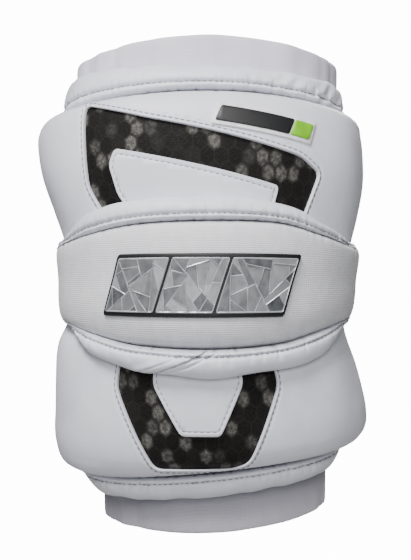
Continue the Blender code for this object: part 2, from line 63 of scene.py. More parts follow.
Outline = list[tuple[float, float]]

LOG = logging.getLogger("elbow_guard")
ROOT = "root"
# How near two levels count as the same.
SAME_LEVEL = 1e-7
# Distance between the lines that a flat piece is scored along.
SCORE_STEP = 0.0030
# Points of a line of stitches before it is spaced.
RUN_POINTS = 900
# From one stitch to the next, half a stitch's length as a share of that, and its half width and height.
STITCH_PITCH = 0.0033
STITCH_HALF_SHARE = 0.37
STITCH_HALF_WIDTH = 0.00040
STITCH_HALF_HEIGHT = 0.00030


class Half(Enum):
    """The two pads of the guard."""

    UPPER = "upper"
    LOWER = "lower"


class PadSection(NamedTuple):
    """Swelling of a pad at one height: 0 is as thin as at the elbow line and 1 is full."""

    height: float
    left: float
    front: float
    right: float


class CapSection(NamedTuple):
    """Heights of the cap's edges and seams at one angle, as shares of their heights in front."""

    angle: float
    top: float
    top_seam: float
    bottom_seam: float
    bottom: float


class Fold(NamedTuple):
    """A soft fold that runs down a collar of the sleeve."""

    angle: float
    depth: float
    spread: float


def ease(share: Array) -> Array:
    """Smooth step from 0 to 1."""
    share = np.clip(share, 0.0, 1.0)
    return share * share * (3.0 - 2.0 * share)


def read_table(rows: Sequence[Sequence[float]], column: int, place: Array) -> Array:
    """Reads a column of a table on a smooth curve that starts level.

    Args:
        rows: rows whose first value is their place.
        column: number of the column to read.
        place: places to read it at.

    Returns:
        The column's value at each place.
    """
    table = np.array([tuple(row) for row in rows], float)
    places, values = table[:, 0], table[:, column]
    last = len(places) - 1
    after = np.minimum(np.arange(last + 1) + 1, last)
    before = np.maximum(np.arange(last + 1) - 1, 0)
    slopes = (values[after] - values[before]) / (places[after] - places[before])
    slopes[0] = 0.0
    place = np.clip(place, places[0], places[last])
    i = np.clip(np.searchsorted(places, place, side="right") - 1, 0, last - 1)
    width = places[i + 1] - places[i]
    t = (place - places[i]) / width
    rise = values[i + 1] - values[i]
    bend_in, bend_out = width * slopes[i] - rise, rise - width * slopes[i + 1]
    return values[i] + t * rise + t * (1 - t) * ((1 - t) * bend_in + t * bend_out)


def around(angle: Array, left: Array, front: Array, right: Array) -> Array:
    """Blend of a front value with a left or right one, reached at the sides and kept behind.

    Args:
        angle: angles round the arm, in degrees.
        left: values at the left side.
        front: values in front.
        right: values at the right side.

    Returns:
        One value for each place.
    """
    side = np.where(angle < 0, left, right)
    facing = np.maximum(np.cos(np.radians(angle)), 0.0)
    return side + (front - side) * facing * facing


def round_end(angle: Array, start: float, reach: float) -> Array:
    """Quarter-round fall from 1 to 0 between two angles, the same on both sides."""
    past = np.clip((np.abs(angle) - start) / (reach - start), 0.0, 1.0)
    return np.sqrt(1.0 - past * past)


def sine(angle: Array) -> Array:
    """Sine of an angle in degrees."""
    return np.sin(np.radians(angle))


def bump(distance: Array, width: float) -> Array:
    """Bell of height 1 round a distance of 0."""
    return np.exp(-((distance / width) ** 2))


def near_front(angle: Array) -> Array:
    """Strength of a sewn detail: full in front and faint at the sides, where cloth is drawn flat."""
    return np.clip(1.35 - np.abs(angle) / 62.0, 0.05, 1.0)


@dataclass(frozen=True)
class GuardForm:
    """Form of the arm hollow, the pads and the cap, in the sizes of the solids."""

    top_width: float = 0.1415
    top_depth: float = 0.078
    elbow_width: float = 0.127
    elbow_depth: float = 0.076
    bottom_width: float = 0.1195
    bottom_depth: float = 0.070
    top_height: float = 0.127
    bottom_drop: float = 0.127
    lean: float = 0.25
    bend_length: float = 0.060
    bottom_shift: float = 0.0045
    upper_dip: float = 0.0040
    lower_tilt: float = 0.0065
    rim_dip: float = 0.0065
    wall: float = 0.0020
    gap: float = 0.0004
    pad_reach: float = 114.0
    pad_end_start: float = 92.0
    pad_lip: float = 0.0025
    pad_meet: float = 0.004
    pad_tuck: float = 0.008
    elbow_thickness: float = 0.008
    upper_seam_height: float = 0.095
    upper_thickness: float = 0.022
    lower_seam_height: float = 0.092
    lower_thickness: float = 0.024
    island_proud: float = 0.0002
    cap_clearance: float = 0.0006
    cap_reach: float = 108.0
    cap_end_start: float = 80.0
    cap_thickness: float = 0.0155
    cap_seam: float = 0.0080
    cap_side: float = 0.48
    cap_lip: float = 0.0016
    panel_rise: float = 0.0275
    panel_drop: float = 0.0275
    panel_roundness: float = 0.6
    pattern_radius: float = 0.088
    upper_sections: tuple[PadSection, ...] = (
        PadSection(0.00, 0.00, 0.00, 0.00),
        PadSection(0.25, 0.28, 0.34, 0.34),
        PadSection(0.43, 0.66, 0.62, 0.54),
        PadSection(0.62, 0.96, 0.82, 0.68),
        PadSection(0.80, 1.00, 0.80, 0.60),
        PadSection(0.90, 0.93, 0.64, 0.46),
        PadSection(0.96, 0.72, 0.34, 0.30),
        PadSection(1.00, 0.14, -0.14, -0.14),
    )
    lower_sections: tuple[PadSection, ...] = (
        PadSection(0.00, 0.00, 0.00, 0.00),
        PadSection(0.20, 0.16, 0.18, 0.02),
        PadSection(0.32, 0.50, 0.40, 0.14),
        PadSection(0.50, 0.72, 0.62, 0.48),
        PadSection(0.69, 0.94, 0.76, 0.74),
        PadSection(0.80, 1.04, 0.76, 0.85),
        PadSection(0.89, 1.00, 0.66, 0.84),
        PadSection(0.96, 0.84, 0.36, 0.60),
        PadSection(1.00, 0.50, -0.12, 0.22),
    )
    cap_sections: tuple[CapSection, ...] = (
        CapSection(-108.0, 0.46, 0.46, 0.44, 0.38),
        CapSection(-90.0, 0.58, 0.66, 0.60, 0.46),
        CapSection(-70.0, 0.66, 0.75, 0.70, 0.52),
        CapSection(-50.0, 0.90, 0.86, 0.84, 0.80),
        CapSection(-30.0, 0.98, 0.96, 0.96, 0.93),
        CapSection(0.0, 1.00, 1.00, 1.00, 1.00),
        CapSection(30.0, 0.94, 0.98, 0.94, 0.92),
        CapSection(50.0, 0.76, 0.83, 0.79, 0.83),
        CapSection(70.0, 0.58, 0.70, 0.66, 0.56),
        CapSection(90.0, 0.54, 0.64, 0.58, 0.48),
        CapSection(108.0, 0.43, 0.45, 0.42, 0.36),
    )

    def halves(self, height: Array) -> tuple[Array, Array]:
        """Half width and half depth of the arm hollow at each height.

        Args:
            height: heights from the elbow line.

        Returns:
            The half width and the half depth at each height.
        """
        up = height > 0
        share = np.where(up, ease(height / self.top_height), ease(-height / self.bottom_drop))
        width = np.where(up, self.top_width, self.bottom_width)
        depth = np.where(up, self.top_depth, self.bottom_depth)
        return (
            (self.elbow_width + (width - self.elbow_width) * share) / 2,
            (self.elbow_depth + (depth - self.elbow_depth) * share) / 2,
        )

    def point(self, angle: Array, height: Array, offset: Array) -> Array:
        """Lays pattern points on the arm.

        Args:
            angle: angles round the arm.
            height: heights from the elbow line.
            offset: offsets out from the arm hollow.

        Returns:
            One row of x, y and z for each point.
        """
        angle, height, offset = np.broadcast_arrays(angle, height, offset)
        half_width, half_depth = self.halves(height)
        reach = np.hypot(height, self.bend_length)
        lean = np.arctan(self.lean * height / reach)
        shift = self.bottom_shift * ease(-height / self.bottom_drop)
        side, front = sine(angle), np.cos(np.radians(angle))
        length = np.hypot(half_depth * side, half_width * front)
        across = side * (half_width + offset * half_depth / length)
        forward = front * (half_depth + offset * half_width / length)
        return np.stack(
            (
                shift + across,
                self.lean * (reach - self.bend_length) - forward * np.cos(lean),
                height + forward * np.sin(lean),
            ),
            axis=-1,
        )

    def angle_at(self, along: Array) -> Array:
        """Angle of a distance along the pattern."""
        return np.degrees(along / self.pattern_radius)

    def along(self, angle: Array) -> Array:
        """Distance along the pattern of an angle."""
        return np.radians(angle) * self.pattern_radius

    def upper_seam(self, angle: Array) -> Array:
        """Height of the upper pad's seam, which dips at the sides."""
        return self.upper_seam_height - self.upper_dip * sine(angle) ** 2

    def lower_seam(self, angle: Array) -> Array:
        """Height of the lower pad's seam, which hangs lower on the left."""
        return self.lower_tilt * sine(angle) - self.lower_seam_height

    def top_rim(self, angle: Array) -> Array:
        """Height of the sleeve's upper rim."""
        return self.top_height - self.rim_dip * sine(angle) ** 2

    def bottom_rim(self, angle: Array) -> Array:
        """Height of the sleeve's lower rim."""
        side = sine(angle)
        return self.lower_tilt * side / 2 + self.rim_dip * side * side / 2 - self.bottom_drop

    @property
    def pad_seat(self) -> float:
        """Offset of the pads' inner faces, just clear of the sleeve."""
        return self.wall + self.gap

    def swelling(self, angle: Array, height: Array) -> Array:
        """Thickness of the pads' common form, which the cap lies on.

        Args:
            angle: angles round the arm, in degrees.
            height: heights from the elbow line.

        Returns:
            One value for each place.
        """
        shares = []
        for rows, seam in (
            (self.upper_sections, self.upper_seam(angle)),
            (self.lower_sections, self.lower_seam(angle)),
        ):
            place = height / seam
            left, front, right = (read_table(rows, column, place) for column in (1, 2, 3))
            shares.append(around(angle, left, front, right))
        share = np.where(height > 0, shares[0], shares[1])
        full = np.where(height > 0, self.upper_thickness, self.lower_thickness)
        return self.elbow_thickness + (full - self.elbow_thickness) * share

    def pad_top(self, angle: Array, height: Array) -> Array:
        """Offset of a pad's outer face, with its round ends and its tuck at the elbow.

        Args:
            angle: angles round the arm, in degrees.
            height: heights from the elbow line.

        Returns:
            One value for each place.
        """
        tuck = np.clip((np.abs(height) - self.pad_meet) / self.pad_tuck, 0.0, 1.0)
        end = round_end(angle, self.pad_end_start, self.pad_reach)
        end = end * np.sqrt(tuck * (2 - tuck))
        return self.pad_seat + self.pad_lip + (self.swelling(angle, height) - self.pad_lip) * end

    def cap_seat(self, angle: Array, height: Array) -> Array:
        """Offset of the cap's inner face: clear of the pads' full form, further off their round ends."""
        proud = self.island_proud + self.cap_clearance
        return self.pad_seat + self.swelling(angle, height) + proud

    def cap_line(self, column: str, size: float) -> Edge:
        """Edge or seam of the cap as a function of the angle.

        Args:
            column: name of the table's column.
            size: the length that the shares are of.

        Returns:
            The function.
        """
        number = CapSection._fields.index(column)

        def height_at(angle: Array) -> Array:
            """Height of the line at an angle."""
            return size * read_table(self.cap_sections, number, angle)

        return height_at

    def cap_dome(self, angle: Array, share: Array) -> Array:
        """Thickness of the cap's panel at a share of the way from its lower to its upper seam.

        Args:
            angle: angles round the arm, in degrees.
            share: shares of the way from the lower to the upper seam.

        Returns:
            One value for each place.
        """
        crown = np.maximum(1.0 - (2.0 * share - 1.0) ** 2, 0.0) ** self.panel_roundness
        slim = around(angle, self.cap_side, 1.0, self.cap_side)
        end = round_end(angle, self.cap_end_start, self.cap_reach)
        full = slim * (self.cap_seam + (self.cap_thickness - self.cap_seam) * crown)
        return self.cap_lip + (full - self.cap_lip) * end


@dataclass(frozen=True)
class Cloth:
    """Small unevenness of sewn cloth, the same each time that it is asked for."""

    seed: int

    def waves(self, along: Array, up: Array, size: float) -> Array:
        """Soft unevenness between about -1 and 1, whose swells are about a size across.

        Args:
            along: distances along the pattern.
            up: distances up the pattern.
            size: width of a swell.

        Returns:
            One value for each place.
        """
        made = np.random.default_rng(self.seed)
        total = np.zeros(np.broadcast(along, up).shape)
        count = 9
        for _ in range(count):
            turn = made.uniform(0, math.tau)
            wave = math.tau / (size * made.uniform(1.4, 3.2))
            phase = made.uniform(0, math.tau)
            total += np.sin(wave * (along * math.cos(turn) + up * math.sin(turn)) + phase)
        return total / math.sqrt(count)

    def puckers(self, along: Array, spacing: float, width: float) -> Array:
        """Narrow dents from 0 to 1 set unevenly along a seam.

        Args:
            along: distances along the pattern.
            spacing: usual distance between two dents.
            width: usual width of a dent.

        Returns:
            One value for each place.
        """
        made = np.random.default_rng(self.seed + 1)
        total = np.zeros(np.shape(along))
        place = -0.20
        while place < 0.20:
            depth, own = made.uniform(0.25, 1.0), width * made.uniform(0.6, 1.5)
            total = np.maximum(total, depth * bump(along - place, own))
            place += spacing * made.uniform(0.55, 1.45)
        return total


def select_only(piece: bpy.types.Object) -> None:
    """Selects one object, and makes it the active one.

    Args:
        piece: the piece.
    """
    bpy.ops.object.select_all(action="DESELECT")
    piece.select_set(True)
    bpy.context.view_layer.objects.active = piece


def apply_modifier(piece: bpy.types.Object, name: str) -> None:
    """Applies one modifier of a piece."""
    select_only(piece)
    bpy.ops.object.modifier_apply(modifier=name)


def read_points(piece: bpy.types.Object) -> Array:
    """Points of a piece's mesh, one row each.

    Args:
        piece: the piece.

    Returns:
        One row of x, y and z for each point.
    """
    points = np.empty(len(piece.data.vertices) * 3)
    piece.data.vertices.foreach_get("co", points)
    return points.reshape(-1, 3)


def write_points(piece: bpy.types.Object, points: Array) -> None:
    """Moves the points of a piece's mesh."""
    piece.data.vertices.foreach_set("co", points.astype(np.float32).ravel())
    piece.data.update()


def write_pattern(piece: bpy.types.Object, along: Array, up: Array) -> None:
    """Gives each point of a piece its place on the cloth, as a UV map in metres.

    Args:
        piece: the piece.
        along: distances along the pattern.
        up: distances up the pattern.
    """
    mesh = piece.data
    corners = np.empty(len(mesh.loops), np.int32)
    mesh.loops.foreach_get("vertex_index", corners)
    layer = mesh.uv_layers.get("pattern") or mesh.uv_layers.new(name="pattern")
    places = np.stack((along[corners], up[corners]), axis=-1)
    layer.data.foreach_set("uv", places.astype(np.float32).ravel())


def write_mask(piece: bpy.types.Object, name: str, values: Array) -> None:
    """Gives each point of a piece a value that its material reads."""
    layer = piece.data.attributes.new(name, "FLOAT", "POINT")
    layer.data.foreach_set("value", np.clip(values, 0.0, 1.0).astype(np.float32))


def raise_flat(piece: bpy.types.Object, rise: float) -> None:
    """Raises a flat piece into a closed block.

    Args:
        piece: the flat piece.
        rise: height of the block.
    """
    select_only(piece)
    bpy.ops.object.mode_set(mode="EDIT")
    bpy.ops.mesh.select_all(action="SELECT")
    bpy.ops.mesh.extrude_region_move(TRANSFORM_OT_translate={"value": (0.0, 0.0, rise)})
    bpy.ops.mesh.select_all(action="SELECT")
    bpy.ops.mesh.normals_make_consistent(inside=False)
    bpy.ops.object.mode_set(mode="OBJECT")


def quilt_block(name: str, columns: int, rows: int) -> bpy.types.Object:
    """Closed block of a fine grid, from 0 to 1 along each of its sides.

    Args:
        name: name of the new piece.
        columns: cells along the pattern.
        rows: cells up the pattern.

    Returns:
        The new piece.
    """
    bpy.ops.object.select_all(action="DESELECT")
    bpy.ops.mesh.primitive_grid_add(
        x_subdivisions=columns, y_subdivisions=rows, size=1.0, location=(0.5, 0.5, 0.0)
    )
    piece = bpy.context.object
    piece.name = piece.data.name = name
    bpy.ops.object.transform_apply(location=True)
    raise_flat(piece, 1.0)
    return piece


def flat_plate(name: str, outline: Outline, thickness: float) -> bpy.types.Object:
    """Plate of an outline in pattern space, from level 0 up to its thickness.

    Args:
        name: name of what is made.
        outline: its outline in pattern space.
        thickness: its thickness.

    Returns:
        The new piece, without a finish.
    """
    if signed_area(outline) < 0:
        outline = outline[::-1]
    bpy.ops.object.select_all(action="DESELECT")
    bpy.ops.mesh.primitive_circle_add(vertices=len(outline), radius=1.0, fill_type="NGON")
    piece = bpy.context.object
    piece.name = piece.data.name = name
    write_points(piece, np.array([(x, y, 0.0) for x, y in outline]))
    raise_flat(piece, thickness)
    return piece


def select_top(piece: bpy.types.Object) -> None:
    """Selects the highest level face of a plate, for an edit-mode operator to work on.

    Args:
        piece: the plate.
    """
    top = max(face.center.z for face in piece.data.polygons)
    for item in (*piece.data.vertices, *piece.data.edges):
        item.select = False
    for face in piece.data.polygons:
        face.select = face.center.z > top - SAME_LEVEL and face.normal.z > 0.9


def step_in(piece: bpy.types.Object, steps: Sequence[tuple[float, float]]) -> None:
    """Insets the top of a plate again and again.

    Args:
        piece: the plate.
        steps: how far in and how far up each inset goes.
    """
    select_only(piece)
    select_top(piece)
    bpy.ops.object.mode_set(mode="EDIT")
    bpy.ops.mesh.select_mode(type="FACE")
    for inward, rise in steps:
        bpy.ops.mesh.inset(thickness=inward, depth=rise)
    bpy.ops.object.mode_set(mode="OBJECT")


def score(piece: bpy.types.Object, step: float = SCORE_STEP) -> None:
    """Cuts a flat piece along level and upright lines, so that it can bend there.

    Args:
        piece: the piece.
        step: distance between two lines.
    """
    work = bmesh.new()
    work.from_mesh(piece.data)
    points = read_points(piece)
    for axis in (0, 1):
        low, high = points[:, axis].min(), points[:, axis].max()
        for number in range(math.ceil(low / step), math.floor(high / step) + 1):
            at, across = Vector(), Vector()
            at[axis], across[axis] = number * step, 1.0
            everything = list(work.verts) + list(work.edges) + list(work.faces)
            bmesh.ops.bisect_plane(work, geom=everything, dist=SAME_LEVEL, plane_co=at, plane_no=across)
    work.to_mesh(piece.data)
    work.free()


def signed_area(outline: Outline) -> float:
    """Area of an outline, positive if its points run to the left."""
    pairs = zip(outline, outline[1:] + outline[:1])
    return sum(a[0] * b[1] - b[0] * a[1] for a, b in pairs) / 2


def rounded(points: Outline, radius: float, steps: int = 6) -> Outline:
    """Outline with its corners rounded by arcs.

    Args:
        points: corners of the outline.
        radius: distance from a corner at which its arc starts.
        steps: straight runs in each arc.

    Returns:
        The new outline.
    """
    outline = []
    count = len(points)
    for i in range(count):
        here = Vector(points[i])
        back, ahead = Vector(points[i - 1]) - here, Vector(points[(i + 1) % count]) - here
        room = min(radius, 0.45 * back.length, 0.45 * ahead.length)
        start, end = here + back.normalized() * room, here + ahead.normalized() * room
        for k in range(steps + 1):
            t = k / steps
            spot = start * (1 - t) ** 2 + here * 2 * t * (1 - t) + end * t * t
            outline.append((spot.x, spot.y))
    return outline


def spaced(outline: Outline, step: float) -> Outline:
    """The same outline with its points set about a step apart.

    Args:
        outline: the outline to space anew.
        step: distance between two points.

    Returns:
        The new outline.
    """
    points = np.array(outline + outline[:1])
    lengths = np.hypot(*np.diff(points, axis=0).T)
    travel = np.concatenate(([0.0], np.cumsum(lengths)))
    count = max(int(travel[-1] / step), 12)
    places = np.arange(count) * travel[-1] / count
    xs, ys = (np.interp(places, travel, points[:, axis]) for axis in (0, 1))
    return list(zip(xs.tolist(), ys.tolist()))


def outward(outline: Outline) -> Array:
    """Outward direction at each point of an outline.

    Args:
        outline: the outline.

    Returns:
        One row of x and y for each point.
    """
    points = np.array(outline)
    run = np.roll(points, -1, axis=0) - np.roll(points, 1, axis=0)
    run /= np.maximum(np.hypot(run[:, 0], run[:, 1]), 1e-12)[:, None]
    turned = np.stack((run[:, 1], -run[:, 0]), axis=-1)
    return turned if signed_area(outline) > 0 else -turned


def grown(outline: Outline, distance: float) -> Outline:
    """Outline moved out by a distance, or in by a negative one."""
    moved = np.array(outline) + outward(outline) * distance
    return [(float(x), float(y)) for x, y in moved]


def distance_to(outline: Outline, along: Array, up: Array) -> Array:
    """Distance of pattern points from an outline, negative inside it.

    Args:
        outline: the outline.
        along: distances along the pattern.
        up: distances up the pattern.

    Returns:
        One distance for each place.
    """
    nearest = np.full(along.shape, np.inf)
    inside = np.zeros(along.shape, bool)
    for (x0, y0), (x1, y1) in zip(outline, outline[1:] + outline[:1]):
        run_x, run_y = x1 - x0, y1 - y0
        length = run_x * run_x + run_y * run_y + 1e-18
        t = np.clip(((along - x0) * run_x + (up - y0) * run_y) / length, 0.0, 1.0)
        nearest = np.minimum(nearest, np.hypot(along - x0 - t * run_x, up - y0 - t * run_y))
        if y0 != y1:
            crosses = (y0 > up) != (y1 > up)
            inside ^= crosses & (along < x0 + (up - y0) * run_x / run_y)
    return np.where(inside, -nearest, nearest)


def placed(shares: Outline, left: float, base: float, width: float, height: float) -> Outline:
    """Outline in pattern space from shares of a width and a height."""
    return [(left + width * across, base + height * up) for across, up in shares]


class NodeBench:
    """Adds and joins the nodes of one tree."""

    def __init__(self, tree: bpy.types.NodeTree) -> None:
        """Starts work on a tree."""
        self.tree = tree

    def add(self, kind: str, settings: dict[str, Any] | None = None, **inputs: Any) -> bpy.types.Node:
        """Adds a node.

        Args:
            kind: type name of the node.
            settings: properties of the node to set.
            inputs: values or outputs for its inputs, by name with underscores, or by number as i0, i1.

        Returns:
            The new node.
        """
        node = self.tree.nodes.new(kind)
        for key, value in (settings or {}).items():
            setattr(node, key, value)
        for key, value in inputs.items():
            number = int(key[1:]) if key[0] == "i" and key[1:].isdigit() else None
            socket = node.inputs[key.replace("_", " ") if number is None else number]
            if isinstance(value, bpy.types.NodeSocket):
                self.tree.links.new(value, socket)
            else:
                socket.default_value = value
        return node

    def maths(self, operation: str, *values: Any) -> bpy.types.NodeSocket:
        """Output of a Math node with these inputs."""
        inputs = {f"i{number}": value for number, value in enumerate(values)}
        return self.add("ShaderNodeMath", {"operation": operation}, **inputs).outputs[0]

    def vector_maths(self, operation: str, *values: Any) -> bpy.types.NodeSocket:
        """Output of a Vector Math node with these inputs."""
        inputs = {f"i{number}": value for number, value in enumerate(values)}
        return self.add("ShaderNodeVectorMath", {"operation": operation}, **inputs).outputs[0]

    def step(
        self, value: Any, low: float, high: float, first: float, last: float
    ) -> bpy.types.NodeSocket:
        """Smooth change of a value between two limits into one between two others.

        Args:
            value: the value to change.
            low: lower limit of the value.
            high: upper limit of the value.
            first: result at the lower limit.
            last: result at the upper limit.

        Returns:
            The result's output.
        """
        limits = {"From_Min": low, "From_Max": high, "To_Min": first, "To_Max": last}
        smooth = {"interpolation_type": "SMOOTHSTEP"}
        return self.add("ShaderNodeMapRange", smooth, Value=value, **limits).outputs["Result"]

    def tones(self, mask: Any, first: Sequence[float], second: Sequence[float]) -> bpy.types.NodeSocket:
        """Colour between two tones.

        Args:
            mask: mask from 0 to 1.
            first: colour where the mask is 0.
            second: colour where the mask is 1.

        Returns:
            The colour's output.
        """
        both = {"i6": (*first, 1.0), "i7": (*second, 1.0)}
        return self.add("ShaderNodeMix", {"data_type": "RGBA"}, i0=mask, **both).outputs[2]


def new_group(
    name: str, numbers: dict[str, float], results: Sequence[str]
) -> tuple[Any, Any, Any, NodeBench]:
    """Shader node group that takes a place and some numbers and gives values.

    Args:
        name: name of the group.
        numbers: named number inputs with their usual values.
        results: names of its value outputs.

    Returns:
        The group, its input node, its output node and a bench for its tree.
    """
    group = bpy.data.node_groups.new(name, "ShaderNodeTree")
    group.interface.new_socket(name="Place", in_out="INPUT", socket_type="NodeSocketVector")
    for key, value in numbers.items():
        socket = group.interface.new_socket(name=key, in_out="INPUT", socket_type="NodeSocketFloat")
        socket.default_value = value
    for key in results:
        group.interface.new_socket(name=key, in_out="OUTPUT", socket_type="NodeSocketFloat")
    bench = NodeBench(group)
    return group, bench.add("NodeGroupInput"), bench.add("NodeGroupOutput"), bench


class Effects:
    """Node groups that more than one finish uses."""

    def __init__(self) -> None:
        """Builds each group once."""
        self.grain = self.build_grain()
        self.weave = self.build_weave()
        self.handling = self.build_handling()

    def build_grain(self) -> Any:
        """Pebbled grain of a coated cloth.

        Returns:
            The node group.
        """
        group, given, out, bench = new_group("cover_grain", {"Scale": 1400.0}, ("Height",))
        cells = bench.add(
            "ShaderNodeTexVoronoi",
            {"feature": "SMOOTH_F1"},
            Vector=given.outputs["Place"],
            Scale=given.outputs["Scale"],
            Smoothness=0.6,
        )
        fine = bench.add(
            "ShaderNodeTexNoise",
            Vector=given.outputs["Place"],
            Scale=bench.maths("MULTIPLY", given.outputs["Scale"], 2.1),
            Detail=3.0,
        )
        mixed = bench.maths("MULTIPLY_ADD", fine.outputs[0], 0.6, cells.outputs["Distance"])
        bench.tree.links.new(mixed, out.inputs["Height"])
        return group

    def build_weave(self) -> Any:
        """Fine weave: threads across with threads up between them.

        Returns:
            The node group.
        """
        group, given, out, bench = new_group(
            "thread_weave", {"Across": 1500.0, "Up": 1500.0, "Wander": 0.0002}, ("Height", "Thread")
        )
        noise = bench.add("ShaderNodeTexNoise", Vector=given.outputs["Place"], Scale=90.0)
        wander = bench.add(
            "ShaderNodeVectorMath",
            {"operation": "SCALE"},
            i0=noise.outputs["Color"],
            Scale=given.outputs["Wander"],
        )
        place = bench.vector_maths("ADD", given.outputs["Place"], wander.outputs[0])
        parts = bench.add("ShaderNodeSeparateXYZ", Vector=place)
        turns = bench.maths("MULTIPLY", given.outputs["Across"], math.tau)
        rises = bench.maths("MULTIPLY", given.outputs["Up"], math.tau)
        across = bench.maths("SINE", bench.maths("MULTIPLY", parts.outputs["X"], turns))
        up = bench.maths("SINE", bench.maths("MULTIPLY", parts.outputs["Y"], rises))
        height = bench.maths("MULTIPLY_ADD", across, 0.45, up)
        bench.tree.links.new(height, out.inputs["Height"])
        bench.tree.links.new(bench.step(height, -1.0, 1.0, 0.0, 1.0), out.inputs["Thread"])
        return group

    def build_handling(self) -> Any:
        """Soft unevenness of tone that cloth has from dye and handling.

        Returns:
            The node group.
        """
        group, given, out, bench = new_group("handling", {"Scale": 22.0}, ("Tone",))
        noise = bench.add(
            "ShaderNodeTexNoise",
            Vector=given.outputs["Place"],
            Scale=given.outputs["Scale"],
            Detail=5.0,
            Roughness=0.6,
        )
        bench.tree.links.new(bench.step(noise.outputs[0], 0.3, 0.7, 0.0, 1.0), out.inputs["Tone"])
        return group


def new_material(name: str) -> tuple[bpy.types.Material, bpy.types.Node, NodeBench]:
    """Empty Principled material with its shader and a bench for its tree.

    Args:
        name: name of the material.

    Returns:
        The material, its shader and the bench.
    """
    made = bpy.data.materials.new(name)
    made.use_nodes = True
    return made, made.node_tree.nodes["Principled BSDF"], NodeBench(made.node_tree)


def use_group(bench: NodeBench, group: Any, place: Any, **numbers: float) -> bpy.types.Node:
    """Places a node group in a material, with its own values.

    Args:
        bench: bench of the material's tree.
        group: the node group.
        place: the place that the group works at.
        numbers: values for the group's inputs.

    Returns:
        The placed node.
    """
    return bench.add("ShaderNodeGroup", {"node_tree": group}, Place=place, **numbers)


def pattern_place(bench: NodeBench) -> bpy.types.NodeSocket:
    """Place on the cloth, from the piece's own map."""
    return bench.add("ShaderNodeUVMap", {"uv_map": "pattern"}).outputs[0]


def join_bump(bench: NodeBench, shader: bpy.types.Node, height: Any, depth: float) -> None:
    """Feeds a height into a shader's normal, with a real depth in metres."""
    node = bench.add("ShaderNodeBump", Height=height, Strength=1.0, Distance=depth)
    bench.tree.links.new(node.outputs[0], shader.inputs["Normal"])


def shaded(bench: NodeBench, colour: Any, mask: str, shade: Sequence[float]) -> bpy.types.NodeSocket:
    """Colour darkened towards a painted shade where a piece's own mask says so.

    Args:
        bench: bench of the material's tree.
        colour: colour where the mask is 0.
        mask: name of the piece's mask.
        shade: colour where the mask is 1.

    Returns:
        The colour's output.
    """
    layer = bench.add("ShaderNodeAttribute", {"attribute_name": mask})
    both = {"i6": colour, "i7": (*shade, 1.0)}
    kind = {"data_type": "RGBA"}
    return bench.add("ShaderNodeMix", kind, i0=layer.outputs["Fac"], **both).outputs[2]


@dataclass(frozen=True)
class CoverLeather:
    """Smooth pale coated cloth with a soft sheen."""

    light: tuple[float, float, float] = (0.775, 0.78, 0.845)
    dark: tuple[float, float, float] = (0.705, 0.71, 0.78)
    # Colour of the painted shade along seams, puckers and stitch grooves, that the piece's mask darkens it
    # towards.
    crease_and_painted_shade: tuple[float, float, float] = (0.16, 0.16, 0.19)
    roughness: float = 0.44

    def build(self, effects: Effects) -> bpy.types.Material:
        """Makes the material.

        Args:
            effects: the shared node groups.

        Returns:
            The material.
        """
        made, shader, bench = new_material("cover_leather")
        place = pattern_place(bench)
        tone = use_group(bench, effects.handling, place, Scale=30.0).outputs["Tone"]
        colour = shaded(bench, bench.tones(tone, self.dark, self.light), "crease_and_painted_shade", self.crease_and_painted_shade)
        bench.tree.links.new(colour, shader.inputs["Base Color"])
        rough = bench.step(tone, 0.0, 1.0, self.roughness - 0.03, self.roughness + 0.05)
        bench.tree.links.new(rough, shader.inputs["Roughness"])
        shader.inputs["Specular IOR Level"].default_value = 0.35
        shader.inputs["Sheen Weight"].default_value = 0.08
        grain = use_group(bench, effects.grain, place, Scale=1300.0).outputs["Height"]
        join_bump(bench, shader, grain, 0.00006)
        return made


@dataclass(frozen=True)
class WovenNylon:
    """Pale nylon whose fine threads run across."""

    light: tuple[float, float, float] = (0.78, 0.78, 0.805)
    dark: tuple[float, float, float] = (0.64, 0.64, 0.68)
    # Colour of the painted shade along the panel's seams and its lower part, that the piece's mask darkens it
    # towards.
    crease_and_painted_shade: tuple[float, float, float] = (0.14, 0.14, 0.16)

    def build(self, effects: Effects) -> bpy.types.Material:
        """Makes the material.

        Args:
            effects: the shared node groups.

        Returns:
            The material.
        """
        made, shader, bench = new_material("woven_cover")
        place = pattern_place(bench)
        weave = use_group(bench, effects.weave, place, Across=620.0, Up=1050.0, Wander=0.0011)
        tone = use_group(bench, effects.handling, place, Scale=140.0).outputs["Tone"]
        thread = bench.maths("MULTIPLY", weave.outputs["Thread"], 0.6)
        mixed = bench.maths("MULTIPLY_ADD", tone, 0.45, thread)
        colour = shaded(bench, bench.tones(mixed, self.dark, self.light), "crease_and_painted_shade", self.crease_and_painted_shade)
        bench.tree.links.new(colour, shader.inputs["Base Color"])
        shader.inputs["Roughness"].default_value = 0.62
        shader.inputs["Specular IOR Level"].default_value = 0.3
        shader.inputs["Sheen Weight"].default_value = 0.15
        join_bump(bench, shader, weave.outputs["Height"], 0.00005)
        return made


